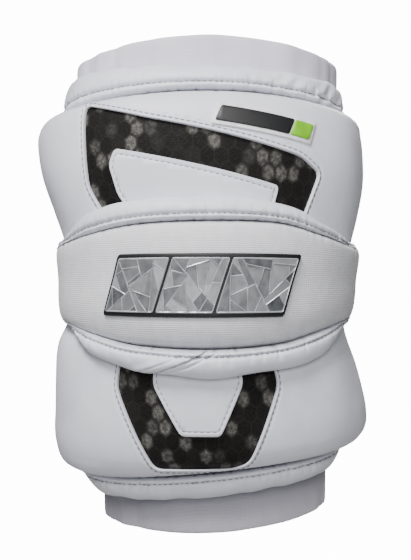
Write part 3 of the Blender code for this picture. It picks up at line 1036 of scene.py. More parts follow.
@dataclass(frozen=True)
class StretchKnit:
    """Lilac-grey stretch knit with fine upright ribs."""

    light: tuple[float, float, float] = (0.70, 0.69, 0.77)
    dark: tuple[float, float, float] = (0.60, 0.59, 0.68)
    # Colour of the painted shadow under the lower binding and the painted shade on the collar's right, that
    # the piece's mask darkens it towards.
    crease_and_painted_shade: tuple[float, float, float] = (0.22, 0.21, 0.25)

    def build(self, effects: Effects) -> bpy.types.Material:
        """Makes the material.

        Args:
            effects: the shared node groups.

        Returns:
            The material.
        """
        made, shader, bench = new_material("knit")
        place = pattern_place(bench)
        weave = use_group(bench, effects.weave, place, Across=900.0, Up=1300.0, Wander=0.0004)
        tone = use_group(bench, effects.handling, place, Scale=45.0).outputs["Tone"]
        thread = bench.maths("MULTIPLY", weave.outputs["Thread"], 0.4)
        mixed = bench.maths("MULTIPLY_ADD", tone, 0.6, thread)
        colour = shaded(bench, bench.tones(mixed, self.dark, self.light), "crease_and_painted_shade", self.crease_and_painted_shade)
        bench.tree.links.new(colour, shader.inputs["Base Color"])
        shader.inputs["Roughness"].default_value = 0.8
        shader.inputs["Sheen Weight"].default_value = 0.3
        join_bump(bench, shader, weave.outputs["Height"], 0.00004)
        return made


@dataclass(frozen=True)
class HexMesh:
    """Near-black mesh of small six-sided cells over a layer of grey dots."""

    pitch: float = 0.0084
    lit: float = 0.66
    base: tuple[float, float, float] = (0.0035, 0.0032, 0.0030)
    line: tuple[float, float, float] = (0.022, 0.020, 0.018)
    spot: tuple[float, float, float] = (0.155, 0.148, 0.135)

    def lattice(self, bench: NodeBench, place: Any, shift: float) -> tuple[Any, Any]:
        """One of the two upright lattices that six-sided cells are made of.

        Args:
            bench: bench of the material's tree.
            place: place on the cloth.
            shift: how far this lattice is moved, as a share of a cell.

        Returns:
            The distance from the nearest middle, 0.5 at a side of its cell, and the cell's own number.
        """
        tall = math.sqrt(3.0)
        cells = bench.vector_maths("MULTIPLY", place, (1 / self.pitch, 1 / self.pitch / tall, 0.0))
        cells = bench.vector_maths("ADD", cells, (shift, shift, 0.0))
        own = bench.vector_maths("FLOOR", cells)
        inner = bench.vector_maths("SUBTRACT", bench.vector_maths("FRACTION", cells), (0.5, 0.5, 0.0))
        inner = bench.vector_maths("ABSOLUTE", bench.vector_maths("MULTIPLY", inner, (1.0, tall, 0.0)))
        parts = bench.add("ShaderNodeSeparateXYZ", Vector=inner)
        slant = bench.maths(
            "MULTIPLY_ADD", parts.outputs["X"], 0.5, bench.maths("MULTIPLY", parts.outputs["Y"], tall / 2)
        )
        far = bench.maths("MAXIMUM", parts.outputs["X"], slant)
        number = bench.vector_maths("ADD", own, (shift * 40.0, shift * 90.0, 0.0))
        noise = bench.add("ShaderNodeTexWhiteNoise", {"noise_dimensions": "2D"}, Vector=number)
        return far, noise.outputs["Value"]

    def build(self, effects: Effects) -> bpy.types.Material:
        """Makes the material.

        Args:
            effects: the shared node groups.

        Returns:
            The material.
        """
        made, shader, bench = new_material("dark_mesh")
        place = pattern_place(bench)
        wander = bench.add("ShaderNodeTexNoise", Vector=place, Scale=260.0)
        moved = bench.vector_maths("SUBTRACT", wander.outputs["Color"], (0.5, 0.5, 0.5))
        moved = bench.vector_maths("MULTIPLY", moved, (0.0016, 0.0016, 0.0))
        soft = bench.vector_maths("ADD", place, moved)
        first, one = self.lattice(bench, soft, 0.0)
        second, two = self.lattice(bench, soft, 0.5)
        nearer = bench.maths("LESS_THAN", first, second)
        far = bench.maths("MINIMUM", first, second)
        switch = bench.add("ShaderNodeMix", {"data_type": "FLOAT"}, i0=nearer, i2=two, i3=one)
        chance = bench.step(switch.outputs[0], self.lit - 0.12, self.lit + 0.25, 0.0, 1.0)
        disc = bench.step(far, 0.28, 0.52, 1.0, 0.0)
        cloud = use_group(bench, effects.handling, place, Scale=420.0).outputs["Tone"]
        fine = bench.add(
            "ShaderNodeTexVoronoi", {"feature": "DISTANCE_TO_EDGE"}, Vector=soft, Scale=760.0
        )
        holes = bench.step(fine.outputs["Distance"], 0.0, 0.24, 0.0, 1.0)
        clouded = bench.step(cloud, 0.0, 1.0, 0.30, 1.0)
        sifted = bench.maths("MULTIPLY", clouded, bench.step(holes, 0.0, 1.0, 0.62, 1.0))
        glow = bench.maths("MULTIPLY", bench.maths("MULTIPLY", disc, chance), sifted)
        edge = bench.step(far, 0.42, 0.49, 0.0, 0.5)
        own = bench.maths("MULTIPLY", switch.outputs[0], 0.30)
        threads = bench.maths("MULTIPLY", bench.maths("SUBTRACT", 1.0, holes), 0.30)
        net = bench.maths("MAXIMUM", edge, threads)
        dark = bench.tones(bench.maths("ADD", net, own), self.base, self.line)
        both = {"i6": dark, "i7": (*self.spot, 1.0)}
        node = bench.add("ShaderNodeMix", {"data_type": "RGBA"}, i0=glow, **both)
        bench.tree.links.new(node.outputs[2], shader.inputs["Base Color"])
        shader.inputs["Roughness"].default_value = 0.62
        shader.inputs["Specular IOR Level"].default_value = 0.12
        join_bump(bench, shader, bench.maths("SUBTRACT", edge, holes), 0.00010)
        return made


@dataclass(frozen=True)
class PressedFoil:
    """Silver film pressed in facets, each with its own painted reflection tone."""

    # Ends of the painted reflection tones, from a facet that catches no light to one that catches it.
    light: tuple[float, float, float] = (0.50, 0.51, 0.53)
    dark: tuple[float, float, float] = (0.075, 0.08, 0.085)

    def build(self, effects: Effects) -> bpy.types.Material:
        """Makes the material.

        Args:
            effects: the shared node groups.

        Returns:
            The material.
        """
        made, shader, bench = new_material("silver_foil")
        place = pattern_place(bench)
        tone = use_group(bench, effects.handling, place, Scale=160.0).outputs["Tone"]
        # Painted reflection: each facet's own tone stands in for the light that it catches.
        painted_facet_reflection = bench.add("ShaderNodeAttribute", {"attribute_name": "painted_facet_reflection"}).outputs["Fac"]
        mixed = bench.maths("MULTIPLY_ADD", tone, 0.18, painted_facet_reflection)
        colour = bench.tones(mixed, self.dark, self.light)
        bench.tree.links.new(colour, shader.inputs["Base Color"])
        bench.tree.links.new(bench.step(tone, 0.0, 1.0, 0.30, 0.42), shader.inputs["Roughness"])
        shader.inputs["Metallic"].default_value = 0.45
        grain = use_group(bench, effects.grain, place, Scale=2600.0).outputs["Height"]
        join_bump(bench, shader, grain, 0.00003)
        return made


@dataclass(frozen=True)
class MouldedRubber:
    """Satin moulded rubber or thread of one colour."""

    name: str
    colour: tuple[float, float, float]
    roughness: float = 0.5

    def build(self, effects: Effects) -> bpy.types.Material:
        """Makes the material.

        Args:
            effects: the shared node groups.

        Returns:
            The material.
        """
        made, shader, bench = new_material(self.name)
        place = pattern_place(bench)
        tone = use_group(bench, effects.handling, place, Scale=180.0).outputs["Tone"]
        worn = tuple(channel * 0.82 for channel in self.colour)
        bench.tree.links.new(bench.tones(tone, worn, self.colour), shader.inputs["Base Color"])
        shader.inputs["Roughness"].default_value = self.roughness
        grain = use_group(bench, effects.grain, place, Scale=3000.0).outputs["Height"]
        join_bump(bench, shader, grain, 0.00002)
        return made


@dataclass
class Workshop:
    """What every sub-assembly is made with: the guard's form and its finishes."""

    form: GuardForm
    leather: bpy.types.Material
    nylon: bpy.types.Material
    knit: bpy.types.Material
    mesh: bpy.types.Material
    foil: bpy.types.Material
    black: bpy.types.Material
    green: bpy.types.Material
    white: bpy.types.Material
    thread: bpy.types.Material

    @classmethod
    def opened(cls) -> "Workshop":
        """Builds the finishes once."""
        effects = Effects()
        return cls(
            form=GuardForm(),
            leather=CoverLeather().build(effects),
            nylon=WovenNylon().build(effects),
            knit=StretchKnit().build(effects),
            mesh=HexMesh().build(effects),
            foil=PressedFoil().build(effects),
            black=MouldedRubber("black_rubber", (0.006, 0.006, 0.007), 0.50).build(effects),
            green=MouldedRubber("green_rubber", (0.20, 0.56, 0.012), 0.45).build(effects),
            white=MouldedRubber("white_rubber", (0.86, 0.86, 0.88), 0.45).build(effects),
            # Thread darkened well below its own pale colour: partly the thread's own grey, partly painted
            # shade of the needle holes along each stitch line.
            thread=MouldedRubber("thread", (0.25, 0.25, 0.29), 0.75).build(effects),
        )

    def finish(
        self,
        piece: bpy.types.Object,
        material: bpy.types.Material,
        nodes: Sequence[str] = (),
    ) -> bpy.types.Object:
        """Gives a piece its finish and its body, and hides the solids that it stands for.

        Args:
            piece: the piece.
            material: its finish.
            nodes: solids that it stands for.

        Returns:
            The finished piece.
        """
        piece.data.materials.clear()
        piece.data.materials.append(material)
        select_only(piece)
        bpy.ops.object.shade_smooth_by_angle(angle=math.radians(50.0))
        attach(piece, ROOT)
        if nodes:
            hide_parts(*nodes)
        LOG.info("%s: %d faces", piece.name, len(piece.data.polygons))
        return piece

    def lay(self, piece: bpy.types.Object, angle: Array, height: Array, offset: Array) -> None:
        """Lays a piece whose points have these pattern places on the arm."""
        write_points(piece, self.form.point(angle, height, offset))
        write_pattern(piece, self.form.along(angle), height)

    def lay_plate(self, piece: bpy.types.Object, surface: Surface, low: float) -> None:
        """Lays a flat plate on a surface, its underside at a level above it.

        Args:
            piece: the plate.
            surface: offset of the surface that it lies on.
            low: level of its underside.
        """
        points = read_points(piece)
        angle, height = self.form.angle_at(points[:, 0]), points[:, 1]
        self.lay(piece, angle, height, surface(angle, height) + low + points[:, 2])

    def sew(
        self,
        name: str,
        runs: Sequence[tuple[Array, Array]],
        surface: Surface,
        pitch: float = STITCH_PITCH,
    ) -> bpy.types.Object:
        """Row of stitches: one stitch is modelled, and copied along each run.

        Args:
            name: name of the new piece.
            runs: pattern places along and up, close together, of each line of stitches.
            surface: offset of the cloth that the stitches lie on.
            pitch: distance from one stitch to the next.

        Returns:
            The new piece, without a finish.
        """
        bpy.ops.object.select_all(action="DESELECT")
        bpy.ops.mesh.primitive_uv_sphere_add(segments=8, ring_count=5, radius=1.0)
        stitch = bpy.context.object
        bpy.ops.object.mode_set(mode="EDIT")
        bpy.ops.mesh.select_all(action="SELECT")
        size = (pitch * STITCH_HALF_SHARE, STITCH_HALF_WIDTH, STITCH_HALF_HEIGHT)
        bpy.ops.transform.resize(value=size)
        bpy.ops.object.mode_set(mode="OBJECT")
        work = bmesh.new()
        for along, up in runs:
            for spot in self.stitch_places(along, up, surface, pitch):
                copy = stitch.data.copy()
                copy.transform(spot)
                work.from_mesh(copy)
                bpy.data.meshes.remove(copy)
        work.to_mesh(stitch.data)
        work.free()
        stitch.name = stitch.data.name = name
        places = read_points(stitch)
        write_pattern(stitch, places[:, 0], places[:, 2])
        return stitch

    def stitch_places(self, along: Array, up: Array, surface: Surface, pitch: float) -> list[Matrix]:
        """Place and direction of each stitch of a run.

        Args:
            along: distances along the pattern.
            up: distances up the pattern.
            surface: offset of the surface that it lies on.
            pitch: distance between two stitches.

        Returns:
            One matrix for each stitch.
        """
        angle = self.form.angle_at(along)
        line = self.form.point(angle, up, surface(angle, up))
        above = self.form.point(angle, up, surface(angle, up) + 0.001)
        travel = np.concatenate(([0.0], np.cumsum(np.linalg.norm(np.diff(line, axis=0), axis=1))))
        spots = np.arange(pitch / 2, travel[-1], pitch)

        def at(points: Array, places: Array) -> Array:
            """Points read at distances along the run."""
            return np.stack([np.interp(places, travel, points[:, k]) for k in range(3)], axis=-1)

        middles, lifted = at(line, spots), at(above, spots)
        runs = at(line, spots + pitch / 4) - at(line, spots - pitch / 4)
        made = []
        for middle, lift, run in zip(middles, lifted, runs):
            out = Vector(lift - middle).normalized()
            ahead = Vector(run)
            ahead = (ahead - out * ahead.dot(out)).normalized()
            turn = Matrix((ahead, out.cross(ahead), out)).transposed().to_4x4()
            made.append(Matrix.Translation(Vector(middle) + out * 0.00012) @ turn)
        return made


@dataclass
class KnitSleeve:
    """Knitted tube that the arm goes through, with a soft collar above and below the pads."""

    sides: int = 144
    bands: int = 56
    fold_depth: float = 0.0022
    crease_depth: float = 0.0026
    binding_width: float = 0.0135
    seam_ridge: float = 0.0005
    folds: tuple[Fold, ...] = (
        Fold(-64.0, -0.5, 7.0),
        Fold(-46.0, 0.5, 7.0),
        Fold(-28.0, -0.4, 8.0),
        Fold(20.0, -0.3, 14.0),
        Fold(52.0, 0.4, 10.0),
        Fold(76.0, -0.4, 9.0),
        Fold(150.0, -0.7, 14.0),
        Fold(-150.0, -0.7, 14.0),
    )
    creases: tuple[Fold, ...] = (
        Fold(-66.0, 0.8, 2.2),
        Fold(-60.0, 1.0, 1.8),
        Fold(-53.0, 0.9, 2.0),
        Fold(-45.0, 1.0, 2.2),
        Fold(-37.0, 0.6, 2.4),
        Fold(-26.0, 0.4, 3.0),
        Fold(46.0, 0.35, 4.0),
        Fold(62.0, 0.7, 3.0),
        Fold(72.0, 0.8, 2.6),
    )

    def fold(self, form: GuardForm, angle: Array, height: Array) -> Array:
        """Push of the folds in or out, fading away under the pads.

        Args:
            form: the guard's form.
            angle: angles round the arm, in degrees.
            height: heights from the elbow line.

        Returns:
            One value for each place.
        """
        above = ease((height - form.upper_seam_height) / (form.top_height - form.upper_seam_height))
        below = ease((-height - form.lower_seam_height) / (form.bottom_drop - form.lower_seam_height))
        clear = np.where(height > 0, above, below)
        push = sum(fold.depth * bump(angle - fold.angle, fold.spread) for fold in self.folds)
        cloth = Cloth(5).waves(form.along(angle), height * 0.45, 0.016)
        dents = sum(crease_and_painted_shade.depth * bump(angle - crease_and_painted_shade.angle, crease_and_painted_shade.spread) for crease_and_painted_shade in self.creases)
        gathered = np.where(height > 0, 0.30 + 0.70 * ease((form.top_rim(angle) - height) / 0.018), 0.12)
        behind = ease((np.abs(angle) - 120.0) / 25.0)
        slack = Cloth(8).waves(form.along(angle) * 0.4, height, 0.016) * 0.0006 * behind
        pressed = self.fold_depth * np.abs(push) + self.crease_depth * gathered * dents
        ridge = self.seam_ridge * bump(180.0 - np.abs(angle), 2.6)
        return clear * (0.00035 * cloth - pressed) + slack * (1 - clear) + ridge

    def build(self, shop: Workshop) -> None:
        """Makes the sleeve and dresses it.

        Args:
            shop: the form and the finishes.
        """
        form = shop.form
        bpy.ops.object.select_all(action="DESELECT")
        bpy.ops.mesh.primitive_cylinder_add(
            vertices=self.sides, radius=1.0, depth=1.0, end_fill_type="NOTHING"
        )
        piece = bpy.context.object
        piece.name = piece.data.name = "sleeve_knit"
        for edge in piece.data.edges:
            ends = [piece.data.vertices[i].co.z for i in edge.vertices]
            edge.select = abs(ends[0] - ends[1]) > 0.5
        for item in (*piece.data.vertices, *piece.data.polygons):
            item.select = False
        bpy.ops.object.mode_set(mode="EDIT")
        bpy.ops.mesh.select_mode(type="EDGE")
        bpy.ops.mesh.subdivide(number_cuts=self.bands - 1)
        bpy.ops.object.mode_set(mode="OBJECT")
        points = read_points(piece)
        angle = np.degrees(np.arctan2(points[:, 0], -points[:, 1]))
        bottom, top = form.bottom_rim(angle), form.top_rim(angle)
        height = bottom + (top - bottom) * (points[:, 2] + 0.5)
        shop.lay(piece, angle, height, self.fold(form, angle, height))
        # Painted shade: a painted shadow on the knit just below the lower binding, deeper on the left, and
        # painted shade on the right of the upper collar, all fading out towards the back.
        below = form.lower_seam(angle) - self.binding_width - height
        beside = ease((form.pad_reach - np.abs(angle)) / 24.0)
        left = 0.10 * ease((-angle - 20.0) / 30.0)
        under = (0.86 + left) * ease((below + 0.004) / 0.004) * bump(below, 0.0145)
        shady = 0.30 * ease((angle - 38.0) / 30.0) * (height > form.upper_seam_height)
        write_mask(piece, "crease_and_painted_shade", beside * (under + shady))
        wall = piece.modifiers.new("Wall", "SOLIDIFY")
        wall.thickness = form.wall
        wall.offset = 1.0
        wall.use_even_offset = True
        apply_modifier(piece, "Wall")
        soft = piece.modifiers.new("Soft", "SUBSURF")
        soft.levels = soft.render_levels = 1
        apply_modifier(piece, "Soft")
        shop.finish(piece, shop.knit, ("sleeve",))
        height = np.linspace(-form.bottom_drop + 0.004, form.top_height - 0.004, RUN_POINTS)
        runs = [(form.along(np.full(RUN_POINTS, turn)), height) for turn in (-178.0, 178.0)]
        sewn = shop.sew("sleeve_seam_stitches", runs, lambda a, h: self.fold(form, a, h) + form.wall)
        shop.finish(sewn, shop.thread)


@dataclass
class Roll:
    """Strip of cover rolled over an edge: a soft round, a stitched groove and a lip at the seam."""

    name: str
    node: str
    edge: Edge
    seam: Edge
    seat: Surface
    roll: Callable[[Array], Array]
    reach: float
    end_start: float
    turn: float
    lip: float
    groove: float
    groove_depth: float
    seed: int
    crease_from: float = 1.0
    folded_at: float | None = None
    slim_ends: float = 0.9
    columns: int = 300
    rows: int = 30

    def profile(self, form: GuardForm, angle: Array, share: Array) -> Array:
        """Thickness of the strip at a share of the way from its free edge to its seam.

        Args:
            form: the guard's form.
            angle: angles round the arm, in degrees.
            share: shares of the way from the free edge to the seam.

        Returns:
            One value for each place.
        """
        full = self.roll(angle)
        share = np.clip(share, 0.0, 1.0)
        crown = np.sin(math.pi * self.turn * share) ** 0.55
        slim = ease((np.abs(angle) - 50.0) / 34.0) * self.slim_ends
        crown = crown + (share**0.85 - crown) * slim
        end = round_end(angle, self.end_start, self.reach)
        base = self.lip + (full - self.lip) * crown * end
        front = near_front(angle)
        q = form.along(angle)
        cloth = Cloth(self.seed)
        width = np.abs(self.seam(angle) - self.edge(angle))
        from_groove = (share - self.groove) * width
        from_seam = (1.0 - share) * width
        base = base - self.groove_depth * end * bump(from_groove, 0.0009)
        base = base - 0.0020 * end * front * bump(from_seam, 0.0010)
        base = base + 0.0005 * end * bump(from_groove - (1 - self.groove) * width * 0.55, 0.0011)
        tugs = 0.5 + 0.5 * np.cos(q * math.tau / STITCH_PITCH)
        base = base - 0.00045 * end * tugs * bump(from_groove, 0.0019)
        base = base - 0.0009 * end * cloth.puckers(q, 0.0085, 0.0011) * bump(from_groove, 0.0040)
        slant = cloth.waves(q + share * width * 1.2, share * width * 0.5, 0.0065)
        creased = 0.25 + 0.75 * ease((sine(angle) - self.crease_from) / 0.3)
        base = base + 0.00060 * slant * crown * end * creased
        if self.folded_at is not None:
            base = base + end * self.overlap(q, share)
        return base

    def overlap(self, q: Array, share: Array) -> Array:
        """Step where the two ends of the strip lap over each other on a slant.

        Args:
            q: distances along the pattern.
            share: shares of the way from the free edge to the seam.

        Returns:
            One value for each place.
        """
        across = q - (self.folded_at or 0.0) - 0.034 * share
        laid = 0.0013 * ease(1.0 - across / 0.0016) * ease((across + 0.020) / 0.012)
        under = 0.0012 * bump(across - 0.0018, 0.0012)
        second = 0.0009 * bump(across - 0.0090, 0.0013) * ease(share / 0.3)
        return laid - under - second - 0.0007 * bump(across + 0.0080, 0.0012)

    def surface(self, form: GuardForm) -> Surface:
        """Offset of the strip's outer face at a pattern place.

        Args:
            form: the guard's form.

        Returns:
            The function.
        """

        def offset_at(angle: Array, height: Array) -> Array:
            """Offset of the face at a pattern place."""
            share = (height - self.edge(angle)) / (self.seam(angle) - self.edge(angle))
            return self.seat(angle, height) + self.profile(form, angle, share)

        return offset_at

    def build(self, shop: Workshop) -> None:
        """Makes the strip, dresses it and sews it down.

        Args:
            shop: the form and the finishes.
        """
        form = shop.form
        piece = quilt_block(self.name, self.columns, self.rows)
        points = read_points(piece)
        angle = (points[:, 0] * 2 - 1) * self.reach
        rises = float(self.edge(np.zeros(1))[0]) > float(self.seam(np.zeros(1))[0])
        share = 1 - points[:, 1] if rises else points[:, 1]
        share = share - 0.16 * np.sin(math.tau * share) / math.tau
        height = self.edge(angle) + (self.seam(angle) - self.edge(angle)) * share
        sag = Cloth(self.seed + 3).waves(form.along(angle), 0 * angle, 0.014)
        height = height + 0.0005 * sag * (1 - share) ** 2
        full = self.profile(form, angle, share)
        offset = self.seat(angle, height) + points[:, 2] * full
        shop.lay(piece, angle, height, offset)
        width = np.abs(self.seam(angle) - self.edge(angle))
        q = form.along(angle)
        # Painted shade along the seam, deeper at its puckers, and in the stitched groove.
        ticks = Cloth(self.seed + 5).puckers(q, 0.010, 0.0013)
        front = near_front(angle)
        dark = (0.45 + 0.55 * ticks) * front * bump((1 - share) * width, 0.0007)
        dark = dark + 0.40 * bump((share - self.groove) * width, 0.0005)
        write_mask(piece, "crease_and_painted_shade", dark)
        shop.finish(piece, shop.leather, (self.node,))
        sewn = shop.sew(f"{self.name}_stitches", [self.stitch_run(form)], self.surface(form))
        shop.finish(sewn, shop.thread)

    def stitch_run(self, form: GuardForm) -> tuple[Array, Array]:
        """Pattern places of the line of stitches in the groove.

        Args:
            form: the guard's form.

        Returns:
            Distances along the pattern, and distances up it.
        """
        angle = np.linspace(-self.end_start - 6.0, self.end_start + 6.0, RUN_POINTS)
        height = self.edge(angle) + (self.seam(angle) - self.edge(angle)) * self.groove
        return form.along(angle), height


@dataclass
class Pad:
    """Foam pad in its cover, with a mesh window and a patch in the window; its rolled binding is made with
    the other bindings.
    """

    half: Half
    window: Outline
    island: Outline
    window_corner: float = 0.0042
    island_corner: float = 0.0028
    panel_level: float = -0.0016
    panel_thickness: float = 0.0007
    recess: float = 0.0026
    island_rise: float = 0.0002
    stitch_from_edge: float = 0.0021
    patch_stitch_inset: float = 0.00255
    seam_valley: float = 0.0022
    columns: int = 300
    rows: int = 84
    bead: tuple[tuple[float, float], ...] = (
        (0.00000, -0.00175),
        (-0.00006, -0.00100),
        (-0.00004, -0.00010),
        (0.00016, 0.00050),
        (0.00052, 0.00078),
        (0.00094, 0.00074),
        (0.00134, 0.00040),
        (0.00172, 0.00000),
        (0.00210, -0.00022),
        (0.00248, -0.00008),
        (0.00290, 0.00003),
        (0.00330, -0.00006),
        (0.00340, -0.00060),
        (0.00250, -0.00130),
        (0.00120, -0.00180),
        (0.00040, -0.00190),
    )

    @property
    def name(self) -> str:
        """Name of this half, which its pieces' names start with."""
        return self.half.value

    def seam(self, form: GuardForm, angle: Array) -> Array:
        """Height of this pad's seam."""
        return form.upper_seam(angle) if self.half is Half.UPPER else form.lower_seam(angle)

    def cover(self, form: GuardForm) -> Surface:
        """Offset of the cover before its window is let in.

        Args:
            form: the guard's form.

        Returns:
            The function.
        """
        cloth = Cloth(11 if self.half is Half.UPPER else 23)

        def offset_at(angle: Array, height: Array) -> Array:
            """Offset of the face at a pattern place.

            Args:
                angle: angles round the arm, in degrees.
                height: heights from the elbow line.

            Returns:
                One value for each place.
            """
            q = form.along(angle)
            end = round_end(angle, form.pad_end_start, form.pad_reach)
            from_seam = np.abs(self.seam(form, angle) - height)
            base = form.pad_top(angle, height)
            front = near_front(angle)
            base = base - end * front * self.seam_valley * bump(from_seam, 0.0014)
            base = base - 0.0011 * end * cloth.puckers(q, 0.0150, 0.0014) * bump(from_seam, 0.0042)
            loose = ease((np.abs(angle) - 25.0) / 30.0) * end
            swell = cloth.waves(q, height, 0.030)
            return base + (0.00018 + 0.00045 * loose) * swell * ease(from_seam / 0.012)

        return offset_at

    def build_cover(self, shop: Workshop) -> None:
        """Makes the pad's cover, filled by its foam.

        Args:
            shop: the form and the finishes.
        """
        form = shop.form
        piece = quilt_block(f"{self.name}_cover", self.columns, self.rows)
        points = read_points(piece)
        angle = (points[:, 0] * 2 - 1) * form.pad_reach
        t = points[:, 1]
        share = t - 0.75 * np.sin(math.tau * t) / math.tau
        meet = form.pad_meet if self.half is Half.UPPER else -form.pad_meet
        low, high = sorted((0, 1), key=lambda k: (meet, float(self.seam(form, np.zeros(1))[0]))[k])
        ends = (np.full(angle.shape, meet), self.seam(form, angle))
        height = ends[low] + (ends[high] - ends[low]) * share
        q = form.along(angle)
        outer = distance_to(self.window, q, height)
        top = self.cover(form)(angle, height) - self.recess * ease((0.0030 - outer) / 0.0018)
        offset = form.pad_seat + points[:, 2] * (top - form.pad_seat)
        shop.lay(piece, angle, height, offset)
        # Painted shade along the seam, deeper at its puckers.
        ticks = Cloth(29).puckers(q, 0.0150, 0.0014)
        from_seam = self.seam(form, angle) - height
        front = near_front(angle)
        dark = 0.50 * bump(from_seam, 0.0008) + 0.50 * ticks * bump(from_seam, 0.0016)
        write_mask(piece, "crease_and_painted_shade", front * dark)
        shop.finish(piece, shop.leather, (f"{self.name}_pad",))

    def build_bead(self, shop: Workshop) -> None:
        """Makes the folded edge of the cover round the window.

        Args:
            shop: the form and the finishes.
        """
        form = shop.form
        line = spaced(self.window, 0.0016)
        bpy.ops.object.select_all(action="DESELECT")
        bpy.ops.mesh.primitive_torus_add(
            major_segments=len(line), minor_segments=len(self.bead), major_radius=1.0, minor_radius=0.2
        )
        piece = bpy.context.object
        piece.name = piece.data.name = f"{self.name}_window_edge"
        profile = np.array(self.bead)
        away = np.tile(profile[:, 0], len(line))
        level = np.tile(profile[:, 1], len(line))
        middles = np.repeat(np.array(line), len(profile), axis=0)
        facing = np.repeat(outward(line), len(profile), axis=0)
        places = middles + facing * away[:, None]
        angle, height = form.angle_at(places[:, 0]), places[:, 1]
        shop.lay(piece, angle, height, self.cover(form)(angle, height) + level)
        select_only(piece)
        bpy.ops.object.mode_set(mode="EDIT")
        bpy.ops.mesh.select_all(action="SELECT")
        bpy.ops.mesh.normals_make_consistent(inside=False)
        bpy.ops.object.mode_set(mode="OBJECT")
        # Painted shade along the stitch line on the folded edge.
        write_mask(piece, "crease_and_painted_shade", 0.25 * bump(away - self.stitch_from_edge, 0.0004))
        shop.finish(piece, shop.leather, ())

    def build_panel(self, shop: Workshop) -> None:
        """Makes the mesh panel that fills the window.

        Args:
            shop: the form and the finishes.
        """
        outline = grown(spaced(self.window, 0.0018), 0.0012)
        piece = flat_plate(f"{self.name}_window_mesh", outline, self.panel_thickness)
        score(piece)
        shop.lay_plate(piece, self.cover(shop.form), self.panel_level - self.panel_thickness)
        shop.finish(piece, shop.mesh, (f"{self.name}_mesh",))

    def build_island(self, shop: Workshop) -> None:
        """Makes the patch in the window, with its rounded edge and stitched groove.

        Args:
            shop: the form and the finishes.
        """
        rise = self.island_rise
        body = -self.panel_level - 0.0004
        outline = spaced(self.island, 0.0013)
        piece = flat_plate(f"{self.name}_window_patch", outline, body)
        step_in(
            piece,
            (
                (0.00018, 0.00025),
                (0.00030, 0.00018 + rise),
                (0.00120, 0.00002),
                (0.00040, -0.00010),
                (0.00035, -0.00025),
                (0.00035, 0.00022),
                (0.00010, 0.00010),
            ),
        )
        score(piece)
        shop.lay_plate(piece, self.cover(shop.form), self.panel_level + 0.00003)
        points = read_points(piece)
        write_mask(piece, "crease_and_painted_shade", np.zeros(len(points)))
        shop.finish(piece, shop.leather, (f"{self.name}_island",))

    def build_stitches(self, shop: Workshop) -> None:
        """Sews round the window and round the patch.

        Args:
            shop: the form and the finishes.
        """
        form = shop.form
        runs = []
        for outline, away in ((self.window, self.stitch_from_edge), (self.island, -self.patch_stitch_inset)):
            line = np.array(grown(spaced(outline, 0.0008), away))
            runs.append((line[:, 0], line[:, 1]))
        name = f"{self.name}_window_stitches"
        piece = shop.sew(name, runs, lambda a, h: self.cover(form)(a, h) - 0.0002)
        shop.finish(piece, shop.thread)

    def build(self, shop: Workshop) -> None:
        """Makes every piece of the pad.

        Args:
            shop: the form and the finishes.
        """
        self.window = rounded(self.window, self.window_corner)
        self.island = rounded(self.island, self.island_corner)
        self.build_cover(shop)
        self.build_bead(shop)
        self.build_panel(shop)
        self.build_island(shop)
        self.build_stitches(shop)


